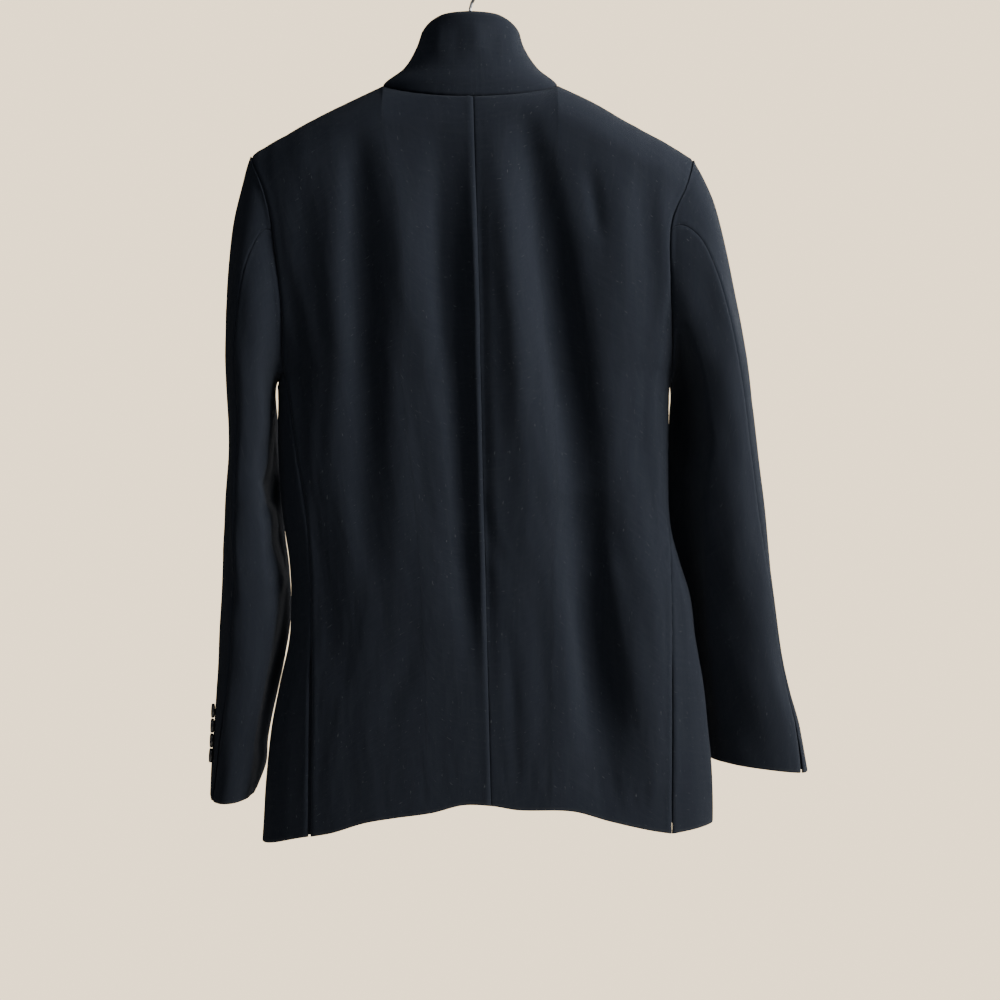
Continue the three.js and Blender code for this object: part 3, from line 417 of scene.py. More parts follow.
@dataclass
class ClothGrid:
    """A piece of cloth as a grid of outer points, with its normals and what is done at its edges.

    Attributes:
        outer: the outer points, rows by columns.
        normals: the outward normals there.
        thick: the cloth's thickness.
        edges: the finish of the top, foot, first and last edge.
    """

    outer: Array
    normals: Array
    thick: Array | float
    edges: tuple[Edge, Edge, Edge, Edge]

    groove: float = 0.9
    groove_half: float = 1.1
    pucker: float = 0.16
    pucker_step: float = 2.3
    pucker_drift: float = 23.0
    pucker_fade: float = 5.0
    allowance: float = 0.35
    allowance_at: float = 4.0
    allowance_half: float = 2.4
    turned_extra: float = 0.7
    turned_wide: float = 5.0
    turned_round: float = 0.35
    turned_round_half: float = 0.8
    hem_wide: float = 38.0
    hem_stitch: float = 0.2
    hem_stitch_step: float = 1.45
    hem_stitch_drift: float = 37.0
    hem_stitch_half: float = 2.2
    press_half: float = 2.2

    @staticmethod
    def lengths(points: Array, axis: int) -> Array:
        """The length along the cloth from the first row (axis 0) or the first column (axis 1)."""
        steps = np.linalg.norm(np.diff(points, axis=axis), axis=-1)
        start = np.zeros_like(np.take(steps, [0], axis=axis))
        return np.cumsum(np.concatenate([start, steps], axis=axis), axis=axis)

    def distances(self) -> tuple[Array, Array, Array, Array]:
        """How far each point is from the top, the foot, the first and the last edge."""
        down, across = self.lengths(self.outer, 0), self.lengths(self.outer, 1)
        return down, down[-1:, :] - down, across, across[:, -1:] - across

    def finish_edges(self) -> None:
        """Sinks the cloth into its seams and thickens it where its edge is turned in."""
        away = self.distances()
        along = (away[2], away[2], away[0], away[0])
        sink = np.zeros(self.outer.shape[:2])
        extra = np.zeros(self.outer.shape[:2])
        for edge, gap, run in zip(self.edges, away, along):
            if edge is Edge.SEAM:
                turn = run / self.pucker_step + 1.7 * np.sin(run / self.pucker_drift)
                pucker = self.pucker * np.sin(turn) * np.exp(-gap / self.pucker_fade)
                sink += self.groove * bell(gap, self.groove_half) + pucker
                sink -= self.allowance * bell(gap - self.allowance_at, self.allowance_half)
            if edge in (Edge.TURNED, Edge.HEM):
                extra += self.turned_extra * (1 - smooth(gap, 0.6 * self.turned_wide, self.turned_wide))
                sink += self.turned_round * bell(gap, self.turned_round_half)
            if edge is Edge.HEM:
                turn = run / self.hem_stitch_step + 2.1 * np.sin(run / self.hem_stitch_drift)
                line = bell(gap - self.hem_wide, self.hem_stitch_half)
                sink += self.hem_stitch * line * (0.35 + 0.65 * np.sin(turn) ** 2)
        self.outer = self.outer - self.normals * sink[..., None]
        self.thick = self.thick + extra

    def press(self) -> Array:
        """How near each point is to a turned edge or a hem, from 0 to 1."""
        near = [bell(gap, self.press_half) for edge, gap in zip(self.edges, self.distances())
                if edge in (Edge.TURNED, Edge.HEM)]
        return np.clip(sum(near), 0, 1) if near else np.zeros(self.outer.shape[:2])


def grid_normals(points: Array) -> Array:
    """The normals of a grid of points, from its rows and columns."""
    return unit(np.cross(np.gradient(points, axis=1), np.gradient(points, axis=0)))


def edge_fractions(count: int, width: float, close: Sequence[float] = (0.5, 1.1, 2.0, 3.2)) -> Array:
    """Fractions from 0 to 1 that lie closer together near both ends.

    Args:
        count: how many even steps the middle has.
        width: the whole width.
        close: the places near each end, as widths from it.

    Returns:
        The fractions, in order.
    """
    ends = np.array(close) / width
    even = np.linspace(0, 1, count + 1)
    even = even[(even > 1.5 * ends[-1]) & (even < 1 - 1.5 * ends[-1])]
    return np.concatenate([[0], ends, even, 1 - ends[::-1], [1]])


class ShellMaker:
    """Makes closed shells of cloth from grids, with rounded rims, a weave map and a press map."""

    UV_NAME = "weave"
    PRESS_NAME = "press"
    RIM_BULGE = 0.32

    @staticmethod
    def boundary(rows: int, columns: int) -> Array:
        """The grid's indices round its edge, once round."""
        index = np.arange(rows * columns).reshape(rows, columns)
        return np.concatenate([index[0, :-1], index[:-1, -1], index[-1, :0:-1], index[:0:-1, 0]])

    def shell(self, name: str, grid: ClothGrid) -> bpy.types.Object:
        """Makes one closed shell.

        Args:
            name: the piece's name.
            grid: its cloth.

        Returns:
            The object, in metres, at the origin.
        """
        rows, columns = grid.outer.shape[:2]
        count = rows * columns
        outer = grid.outer.reshape(-1, 3)
        thick = np.broadcast_to(np.asarray(grid.thick, float), (rows, columns)).reshape(-1, 1)
        inner = outer - grid.normals.reshape(-1, 3) * thick
        ring = self.boundary(rows, columns)
        inward = np.zeros((rows, columns, 3))
        inward[0] = grid.outer[1] - grid.outer[0]
        inward[-1] = grid.outer[-2] - grid.outer[-1]
        inward[:, 0] += unit(grid.outer[:, 1] - grid.outer[:, 0]) * 1e-3
        inward[:, -1] += unit(grid.outer[:, -2] - grid.outer[:, -1]) * 1e-3
        bulge = np.zeros((rows, columns, 1))
        for where, edge in (((0, slice(None)), grid.edges[0]), ((-1, slice(None)), grid.edges[1]),
                            ((slice(None), 0), grid.edges[2]), ((slice(None), -1), grid.edges[3])):
            if edge is not Edge.SEAM:
                bulge[where] = self.RIM_BULGE
        middle = (outer + inner)[ring] / 2
        middle -= unit(inward.reshape(-1, 3)[ring]) * bulge.reshape(-1, 1)[ring] * thick[ring]
        points = np.concatenate([outer, inner, middle]) * MM
        index = np.arange(count).reshape(rows, columns)
        a, b, c, d = index[:-1, :-1], index[1:, :-1], index[1:, 1:], index[:-1, 1:]
        front = np.stack([a, b, c, d], -1).reshape(-1, 4)
        back = np.stack([a, d, c, b], -1).reshape(-1, 4) + count
        turn = np.roll(np.arange(len(ring)), -1)
        rim = np.arange(len(ring)) + 2 * count
        upper = np.stack([ring, ring[turn], rim[turn], rim], -1)
        lower = np.stack([rim, rim[turn], ring[turn] + count, ring + count], -1)
        faces = np.concatenate([front, back, upper, lower])
        corners = points[faces]
        volume = np.einsum("ij,ij->", corners[:, 0] + corners[:, 2],
                           np.cross(corners[:, 1] - corners[:, 0], corners[:, 2] - corners[:, 0]))
        if volume < 0:
            faces = faces[:, ::-1]
        across = grid.lengths(grid.outer, 1)
        across = across - across[:, columns // 2][:, None]
        along = grid.lengths(grid.outer, 0)
        flat = np.stack([across, -along], -1).reshape(-1, 2) * MM
        flat = np.concatenate([flat, flat, flat[ring]])
        press = grid.press().reshape(-1)
        return self.from_arrays(name, points, faces, flat, np.concatenate([press, press, press[ring]]))

    def from_arrays(self, name: str, points: Array, faces: Array, flat: Array,
                    press: Array) -> bpy.types.Object:
        """Makes the object from arrays.

        Args:
            name: the piece's name.
            points: its points, in metres.
            faces: its four-sided faces.
            flat: each point's place on the flat cloth.
            press: how near each point is to a pressed edge.

        Returns:
            The object.
        """
        mesh = bpy.data.meshes.new(name)
        mesh.from_pydata(points.tolist(), [], faces.tolist())
        uv = mesh.uv_layers.new(name=self.UV_NAME)
        uv.data.foreach_set("uv", flat[faces.reshape(-1)].astype(np.float32).reshape(-1))
        attribute = mesh.attributes.new(self.PRESS_NAME, "FLOAT", "POINT")
        attribute.data.foreach_set("value", press.astype(np.float32))
        mesh.shade_smooth()
        mesh.update()
        return linked(name, mesh)


class ShaderGroups:
    """The effects that more than one material uses, each built once as a node group."""

    @staticmethod
    def start(name: str, inputs: dict[str, tuple[str, float | None]],
              outputs: dict[str, str]) -> tuple[bpy.types.NodeTree, bpy.types.Node, bpy.types.Node]:
        """Makes an empty group with named inputs and outputs."""
        tree = bpy.data.node_groups.new(name, "ShaderNodeTree")
        for label, (kind, value) in inputs.items():
            socket = tree.interface.new_socket(label, in_out="INPUT", socket_type=f"NodeSocket{kind}")
            if value is not None:
                socket.default_value = value
        for label, kind in outputs.items():
            tree.interface.new_socket(label, in_out="OUTPUT", socket_type=f"NodeSocket{kind}")
        return tree, tree.nodes.new("NodeGroupInput"), tree.nodes.new("NodeGroupOutput")

    @staticmethod
    def math(tree: bpy.types.NodeTree, operation: str, first: object, second: object = None,
             clamp: bool = False) -> bpy.types.NodeSocket:
        """Adds a Math node.

        Args:
            tree: the tree to add it to.
            operation: the Math node's operation.
            first: a socket or a number.
            second: a socket or a number, or nothing.
            clamp: whether the result is kept from 0 to 1.

        Returns:
            The node's output.
        """
        node = tree.nodes.new("ShaderNodeMath")
        node.operation = operation
        node.use_clamp = clamp
        for socket, value in zip(node.inputs, (first, second)):
            if isinstance(value, bpy.types.NodeSocket):
                tree.links.new(value, socket)
            elif value is not None:
                socket.default_value = value
        return node.outputs[0]

    @cache
    def plain_weave(self) -> bpy.types.NodeTree:
        """A plain weave: threads going over and under each other, as a height and a tone."""
        tree, start, end = self.start(
            "plain_weave", {"Cloth": ("Vector", None), "Threads": ("Float", 1100.0)},
            {"Height": "Float", "Tone": "Float"})
        parts = tree.nodes.new("ShaderNodeSeparateXYZ")
        tree.links.new(start.outputs["Cloth"], parts.inputs[0])
        u = self.math(tree, "MULTIPLY", parts.outputs[0], start.outputs["Threads"])
        v = self.math(tree, "MULTIPLY", parts.outputs[1], start.outputs["Threads"])
        cell = self.math(tree, "ADD", self.math(tree, "FLOOR", u), self.math(tree, "FLOOR", v))
        over = self.math(tree, "PINGPONG", cell, 1.0)
        warp, weft = (self.math(tree, "ABSOLUTE", self.math(tree, "SINE", self.math(
            tree, "MULTIPLY", way, math.pi))) for way in (u, v))
        ridge_up, ridge_across = (self.math(tree, "MULTIPLY", thread, self.math(
            tree, "ADD", 0.45, self.math(tree, "MULTIPLY", other, 0.55)))
            for thread, other in ((warp, weft), (weft, warp)))
        mix = tree.nodes.new("ShaderNodeMix")
        tree.links.new(over, mix.inputs[0])
        tree.links.new(ridge_across, mix.inputs[2])
        tree.links.new(ridge_up, mix.inputs[3])
        tree.links.new(mix.outputs[0], end.inputs["Height"])
        tree.links.new(over, end.inputs["Tone"])
        return tree

    @cache
    def heather(self) -> bpy.types.NodeTree:
        """Uneven yarn: light fibres that lie along the threads, and slow clouds of tone."""
        tree, start, end = self.start(
            "heather", {"Cloth": ("Vector", None), "Fibre Scale": ("Float", 420.0),
                        "Fibre Share": ("Float", 0.3), "Cloud Scale": ("Float", 9.0)},
            {"Fibres": "Float", "Slubs": "Float", "Clouds": "Float"})

        def noise(stretch: tuple[float, float], scale: object, detail: float) -> bpy.types.NodeSocket:
            """A noise over the cloth, stretched along one way of the weave."""
            place = tree.nodes.new("ShaderNodeVectorMath")
            place.operation = "MULTIPLY"
            place.inputs[1].default_value = (*stretch, 1)
            tree.links.new(start.outputs["Cloth"], place.inputs[0])
            node = tree.nodes.new("ShaderNodeTexNoise")
            node.inputs["Detail"].default_value = detail
            node.inputs["Roughness"].default_value = 0.6
            if isinstance(scale, bpy.types.NodeSocket):
                tree.links.new(scale, node.inputs["Scale"])
            else:
                node.inputs["Scale"].default_value = scale
            tree.links.new(place.outputs[0], node.inputs["Vector"])
            return node.outputs[0]

        warp_fibre = noise((1.0, 0.22), start.outputs["Fibre Scale"], 2.0)
        weft_fibre = noise((0.22, 1.0), start.outputs["Fibre Scale"], 2.0)
        fibre = self.math(tree, "MAXIMUM", warp_fibre, weft_fibre)
        edge = self.math(tree, "SUBTRACT", 0.86, self.math(tree, "MULTIPLY",
                         start.outputs["Fibre Share"], 0.4))
        fibre = self.math(tree, "MULTIPLY", self.math(tree, "SUBTRACT", fibre, edge), 6.0, clamp=True)
        slub = self.math(tree, "MAXIMUM", noise((1.0, 0.1), 260.0, 1.0), noise((0.1, 1.0), 260.0, 1.0))
        tree.links.new(fibre, end.inputs["Fibres"])
        tree.links.new(slub, end.inputs["Slubs"])
        tree.links.new(noise((1.0, 0.45), start.outputs["Cloud Scale"], 3.0), end.inputs["Clouds"])
        return tree

    @cache
    def fine_wear(self) -> bpy.types.NodeTree:
        """Small scuffs and handling marks on smooth parts, as a mask."""
        tree, start, end = self.start(
            "fine_wear", {"Place": ("Vector", None), "Scale": ("Float", 300.0),
                          "Amount": ("Float", 0.5)}, {"Mask": "Float"})
        fine, broad = tree.nodes.new("ShaderNodeTexNoise"), tree.nodes.new("ShaderNodeTexNoise")
        fine.inputs["Detail"].default_value = 4.0
        broad.inputs["Scale"].default_value = 24.0
        for node in (fine, broad):
            tree.links.new(start.outputs["Place"], node.inputs["Vector"])
        tree.links.new(start.outputs["Scale"], fine.inputs["Scale"])
        both = self.math(tree, "MULTIPLY", fine.outputs[0], broad.outputs[0])
        mask = self.math(tree, "MULTIPLY", self.math(tree, "SUBTRACT", both, 0.2), 4.0, clamp=True)
        tree.links.new(self.math(tree, "MULTIPLY", mask, start.outputs["Amount"]), end.inputs["Mask"])
        return tree


GROUPS = ShaderGroups()
Colour = tuple[float, float, float, float]


def new_material(name: str) -> tuple[bpy.types.Material, bpy.types.NodeTree, bpy.types.Node]:
    """Makes a material with nodes and gives its tree and its Principled shader."""
    material = bpy.data.materials.new(name)
    material.use_nodes = True
    return material, material.node_tree, material.node_tree.nodes["Principled BSDF"]


def group_node(tree: bpy.types.NodeTree, group: bpy.types.NodeTree, **values: float) -> bpy.types.Node:
    """Places a group in a material and sets its inputs, whose names have _ for a space."""
    node = tree.nodes.new("ShaderNodeGroup")
    node.node_tree = group
    for label, value in values.items():
        node.inputs[label.replace("_", " ")].default_value = value
    return node


def add_relief(tree: bpy.types.NodeTree, shader: bpy.types.Node, height: bpy.types.NodeSocket,
               distance: float, strength: float = 1.0) -> None:
    """Puts a Bump node between a height and the shader's normal."""
    bump = tree.nodes.new("ShaderNodeBump")
    bump.inputs["Distance"].default_value = distance
    bump.inputs["Strength"].default_value = strength
    tree.links.new(height, bump.inputs["Height"])
    tree.links.new(bump.outputs[0], shader.inputs["Normal"])


def mix_colour(tree: bpy.types.NodeTree, share: bpy.types.NodeSocket, first: object,
               second: object) -> bpy.types.NodeSocket:
    """Mixes two colours, each a socket or a value, and gives the mixed one."""
    node = tree.nodes.new("ShaderNodeMix")
    node.data_type = "RGBA"
    tree.links.new(share, node.inputs[0])
    for socket, value in ((node.inputs[6], first), (node.inputs[7], second)):
        if isinstance(value, bpy.types.NodeSocket):
            tree.links.new(value, socket)
        else:
            socket.default_value = value
    return node.outputs[2]


@dataclass(frozen=True)
class WoolCloth:
    """Dark navy plain-weave wool with light fibres, a soft nap, and turned edges and hems that are
    glossier and painted lighter, as edge wear and as a painted highlight.
    """

    name: str = "navy_wool"
    yarn: Colour = (0.0135, 0.0172, 0.0262, 1)
    second_yarn: Colour = (0.0092, 0.0122, 0.0205, 1)
    fibre: Colour = (0.105, 0.115, 0.125, 1)
    # The pale slubs' colour, and the colour of the turned edges' wear and painted highlight.
    slub_wear_and_highlight: Colour = (0.036, 0.041, 0.050, 1)
    threads_per_m: float = 1150
    sheen: float = 0.05
    sheen_roughness: float = 0.42
    sheen_tint: Colour = (0.78, 0.86, 1.0, 1)
    specular: float = 0.08
    roughness: float = 0.86
    pressed_gloss: float = 0.16
    # How far the turned edges and hems are painted lighter, as wear and as a painted highlight.
    edge_wear_and_highlight_share: float = 0.5
    relief_m: float = 0.00035
    relief_strength: float = 0.8
    slub_share: float = 0.35
    slub_relief: float = 0.9
    fibre_scale: float = 520.0
    fibre_share: float = 0.44

    def make(self) -> bpy.types.Material:
        """Builds the material."""
        material, tree, shader = new_material(self.name)
        links = tree.links
        cloth = tree.nodes.new("ShaderNodeUVMap")
        cloth.uv_map = ShellMaker.UV_NAME
        weave = group_node(tree, GROUPS.plain_weave(), Threads=self.threads_per_m)
        heather = group_node(tree, GROUPS.heather(), Fibre_Scale=self.fibre_scale,
                             Fibre_Share=self.fibre_share)
        press = tree.nodes.new("ShaderNodeAttribute")
        press.attribute_name = ShellMaker.PRESS_NAME
        for node in (weave, heather):
            links.new(cloth.outputs[0], node.inputs["Cloth"])
        yarns = mix_colour(tree, weave.outputs["Tone"], self.yarn, self.second_yarn)
        clouded = mix_colour(tree, heather.outputs["Clouds"], yarns, self.yarn)
        slub = GROUPS.math(tree, "MULTIPLY", heather.outputs["Slubs"], self.slub_share, clamp=True)
        slubbed = mix_colour(tree, slub, clouded, self.slub_wear_and_highlight)
        flecked = mix_colour(tree, heather.outputs["Fibres"], slubbed, self.fibre)
        # Turned edges and hems are painted lighter: partly edge wear, partly a painted highlight where
        # light catches them.
        edge = GROUPS.math(tree, "MULTIPLY", press.outputs["Fac"], self.edge_wear_and_highlight_share, clamp=True)
        links.new(mix_colour(tree, edge, flecked, self.slub_wear_and_highlight), shader.inputs["Base Color"])
        rough = GROUPS.math(tree, "SUBTRACT", self.roughness,
                            GROUPS.math(tree, "MULTIPLY", press.outputs["Fac"], self.pressed_gloss))
        links.new(rough, shader.inputs["Roughness"])
        height = GROUPS.math(tree, "ADD", weave.outputs["Height"],
                             GROUPS.math(tree, "MULTIPLY", heather.outputs["Slubs"], self.slub_relief))
        add_relief(tree, shader, height, self.relief_m, self.relief_strength)
        shader.inputs["Specular IOR Level"].default_value = self.specular
        shader.inputs["Sheen Weight"].default_value = self.sheen
        shader.inputs["Sheen Roughness"].default_value = self.sheen_roughness
        shader.inputs["Sheen Tint"].default_value = self.sheen_tint
        return material


@dataclass(frozen=True)
class PolishedResin:
    """Dark polished resin with slow streaks, as on coat buttons."""

    name: str = "button_resin"
    dark: Colour = (0.012, 0.013, 0.016, 1)
    streak: Colour = (0.055, 0.05, 0.045, 1)
    roughness: float = 0.24

    def make(self) -> bpy.types.Material:
        """Builds the material."""
        material, tree, shader = new_material(self.name)
        place = tree.nodes.new("ShaderNodeTexCoord")
        streaks = tree.nodes.new("ShaderNodeTexNoise")
        streaks.inputs["Scale"].default_value = 170.0
        streaks.inputs["Distortion"].default_value = 2.2
        tree.links.new(place.outputs["Object"], streaks.inputs["Vector"])
        share = GROUPS.math(tree, "MULTIPLY", GROUPS.math(tree, "SUBTRACT", streaks.outputs[0], 0.45),
                            3.0, clamp=True)
        tree.links.new(mix_colour(tree, share, self.dark, self.streak), shader.inputs["Base Color"])
        wear = group_node(tree, GROUPS.fine_wear(), Scale=420.0, Amount=0.3)
        tree.links.new(place.outputs["Object"], wear.inputs["Place"])
        tree.links.new(GROUPS.math(tree, "ADD", wear.outputs[0], self.roughness),
                       shader.inputs["Roughness"])
        shader.inputs["Coat Weight"].default_value = 0.4
        return material


@dataclass(frozen=True)
class SewingThread:
    """Twisted thread: its ply shows as fine slanted ridges, with painted shade in the grooves between
    them.
    """

    name: str
    colour: Colour
    roughness: float = 0.6

    def make(self) -> bpy.types.Material:
        """Builds the material."""
        material, tree, shader = new_material(self.name)
        place = tree.nodes.new("ShaderNodeTexCoord")
        ply = tree.nodes.new("ShaderNodeTexWave")
        ply.bands_direction = "DIAGONAL"
        ply.inputs["Scale"].default_value = 900.0
        tree.links.new(place.outputs["Object"], ply.inputs["Vector"])
        # The thread is painted darker in the ply's grooves, where the bump is low: painted shade.
        dark = tuple(0.55 * c for c in self.colour[:3]) + (1,)
        tree.links.new(mix_colour(tree, ply.outputs["Fac"], dark, self.colour),
                       shader.inputs["Base Color"])
        add_relief(tree, shader, ply.outputs["Fac"], 0.0001)
        shader.inputs["Roughness"].default_value = self.roughness
        shader.inputs["Sheen Weight"].default_value = 0.3
        return material


@dataclass(frozen=True)
class SmoothPart:
    """A hard smooth part with light handling marks: moulded plastic or bright wire."""

    name: str
    colour: Colour
    worn: Colour
    metallic: float
    roughness: float
    grain: float

    def make(self) -> bpy.types.Material:
        """Builds the material."""
        material, tree, shader = new_material(self.name)
        place = tree.nodes.new("ShaderNodeTexCoord")
        wear = group_node(tree, GROUPS.fine_wear(), Scale=self.grain, Amount=0.6)
        tree.links.new(place.outputs["Object"], wear.inputs["Place"])
        tree.links.new(mix_colour(tree, wear.outputs[0], self.colour, self.worn),
                       shader.inputs["Base Color"])
        rough = GROUPS.math(tree, "ADD", GROUPS.math(tree, "MULTIPLY", wear.outputs[0], 0.35),
                            self.roughness)
        tree.links.new(rough, shader.inputs["Roughness"])
        add_relief(tree, shader, wear.outputs[0], 0.00008, 0.4)
        shader.inputs["Metallic"].default_value = self.metallic
        return material


class WireLayer:
    """Lays round wire or thread along paths, with one Geometry Nodes tree."""

    def __init__(self) -> None:
        """Builds the tree."""
        self.tree = self.wire_tree()

    @staticmethod
    def wire_tree() -> bpy.types.NodeTree:
        """A round wire or thread along a path, with closed ends, smoothed and in its material."""
        tree = bpy.data.node_groups.new("wire_along_path", "GeometryNodeTree")
        for label, kind, value in (("Path", "Geometry", None), ("Radius", "Float", 0.001),
                                   ("Sides", "Int", 12), ("Material", "Material", None)):
            socket = tree.interface.new_socket(label, in_out="INPUT", socket_type=f"NodeSocket{kind}")
            if value is not None:
                socket.default_value = value
        tree.interface.new_socket("Geometry", in_out="OUTPUT", socket_type="NodeSocketGeometry")
        start, finish = tree.nodes.new("NodeGroupInput"), tree.nodes.new("NodeGroupOutput")
        curve, ring, tube, real, soft, dress = (tree.nodes.new(f"GeometryNode{kind}") for kind in (
            "MeshToCurve", "CurvePrimitiveCircle", "CurveToMesh", "RealizeInstances",
            "SetShadeSmooth", "SetMaterial"))
        tube.inputs["Fill Caps"].default_value = True
        for giver, taker in ((start.outputs["Path"], curve.inputs[0]),
                             (curve.outputs[0], tube.inputs["Curve"]),
                             (start.outputs["Sides"], ring.inputs["Resolution"]),
                             (start.outputs["Radius"], ring.inputs["Radius"]),
                             (ring.outputs[0], tube.inputs["Profile Curve"]),
                             (tube.outputs[0], real.inputs[0]),
                             (real.outputs[0], soft.inputs[0]),
                             (soft.outputs[0], dress.inputs[0]),
                             (start.outputs["Material"], dress.inputs["Material"]),
                             (dress.outputs[0], finish.inputs[0])):
            tree.links.new(giver, taker)
        return tree

    def run(self, name: str, paths: Sequence[Array], **inputs: object) -> bpy.types.Object:
        """Lays the wire along paths and gives the result as a plain mesh.

        Args:
            name: the piece's name.
            paths: rows of points in millimetres, one for each path.
            **inputs: values for the tree's inputs, whose names have _ for a space.

        Returns:
            The object, at the origin.
        """
        points: list[list[float]] = []
        edges: list[tuple[int, int]] = []
        for path in paths:
            first = len(points)
            points += (np.asarray(path, float) * MM).tolist()
            edges += [(k, k + 1) for k in range(first, len(points) - 1)]
        guide_mesh = bpy.data.meshes.new(f"{name}_path")
        guide_mesh.from_pydata(points, edges, [])
        guide = linked(f"{name}_path", guide_mesh)
        modifier = guide.modifiers.new("laid", "NODES")
        modifier.node_group = self.tree
        sockets = {item.name: item.identifier for item in self.tree.interface.items_tree
                   if item.item_type == "SOCKET" and item.in_out == "INPUT"}
        for label, value in inputs.items():
            modifier[sockets[label.replace("_", " ")]] = value
        shown = guide.evaluated_get(bpy.context.evaluated_depsgraph_get())
        mesh = bpy.data.meshes.new_from_object(shown)
        mesh.name = name
        guide.modifiers.remove(modifier)
        bpy.data.objects.remove(guide)
        bpy.data.meshes.remove(guide_mesh)
        return linked(name, mesh)


class Workroom:
    """What every sub-assembly shares: the form, the finishes, the wire and the hand-over."""

    def __init__(self) -> None:
        """Makes the form and the finishes."""
        self.form = CoatForm()
        self.shells = ShellMaker()
        self.wire = WireLayer()
        self.wool = WoolCloth().make()
        self.resin = PolishedResin().make()
        self.button_thread = SewingThread("button_thread", (0.03, 0.033, 0.042, 1)).make()

    def hand_over(self, piece: bpy.types.Object, slot: str, *nodes: str) -> None:
        """Rides a piece on the coat's body and hides the nodes that it stands for.

        Args:
            piece: the finished piece.
            slot: not used.
            *nodes: the part's nodes that it stands for.
        """
        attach(piece, BODY)
        if nodes:
            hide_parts(*nodes)

    def cloth(self, name: str, grid: ClothGrid, *nodes: str) -> None:
        """Makes a sheet of wool from its grid and dresses it.

        Args:
            name: the piece's name.
            grid: its cloth.
            *nodes: the part's nodes that it stands for.
        """
        piece = self.shells.shell(name, grid)
        piece.data.materials.append(self.wool)
        self.hand_over(piece, "coat_cloth", *nodes)


# Creases laid on the back: places across and heights, as the coat hangs.
BACK_CREASES = [
    Crease((-70, -205), (-128, -640), 26, 8.0, 4),
    Crease((-112, -560), (-140, -905), 30, 9.5, 4),
    Crease((-172, -520), (-190, -880), 24, -4.5, 4),
    Crease((113, -185), (99, -660), 17, 3.6, 2),
    Crease((38, -175), (8, -700), 19, 4.2, 3),
    Crease((-150, -190), (-168, -430), 20, -2.6, 3),
    Crease((-28, -180), (-60, -640), 15, -2.2, 5),
    Crease((-122, -225), (-131, -305), 9, 2.2, 2),
    Crease((-194, -236), (-200, -390), 8, -2.0, 2),
    Crease((-22, -190), (-52, -520), 13, -1.6, 4),
    Crease((-138, -600), (-176, -800), 17, -2.4, -5),
    Crease((-92, -600), (-104, -830), 10, -1.2, 3),
    Crease((28, -185), (24, -440), 15, 2.4, -3),
    Crease((84, -195), (66, -400), 14, -1.8, 4),
    Crease((140, -215), (136, -520), 15, -1.6, 3),
    Crease((62, -420), (50, -660), 18, 1.2, 6),
    Crease((52, -690), (90, -800), 12, 1.0, 4),
    Crease((150, -560), (132, -770), 14, 1.5, -4),
    Crease((-70, -640), (-76, -850), 12, 1.4, 2),
    Crease((-40, -700), (-48, -868), 7, 0.9, 1),
    Crease((-168, -470), (-190, -640), 12, 1.8, 4),
    Crease((188, -330), (170, -500), 9, 1.6, 3),
    Crease((-10, -560), (-30, -640), 7, 0.7, 1),
]

FRONT_CREASES = [
    Crease((118, -240), (96, -430), 13, 1.8, 4),
    Crease((60, -600), (84, -760), 15, 1.5, -4),
    Crease((-104, -250), (-84, -450), 14, 1.8, -4),
    Crease((-70, -590), (-96, -780), 16, 1.6, 4),
    Crease((20, -700), (36, -880), 12, 1.1, 3),
    Crease((-150, -520), (-166, -720), 13, 1.7, 3),
    Crease((152, -500), (140, -700), 13, 1.5, -3),
]


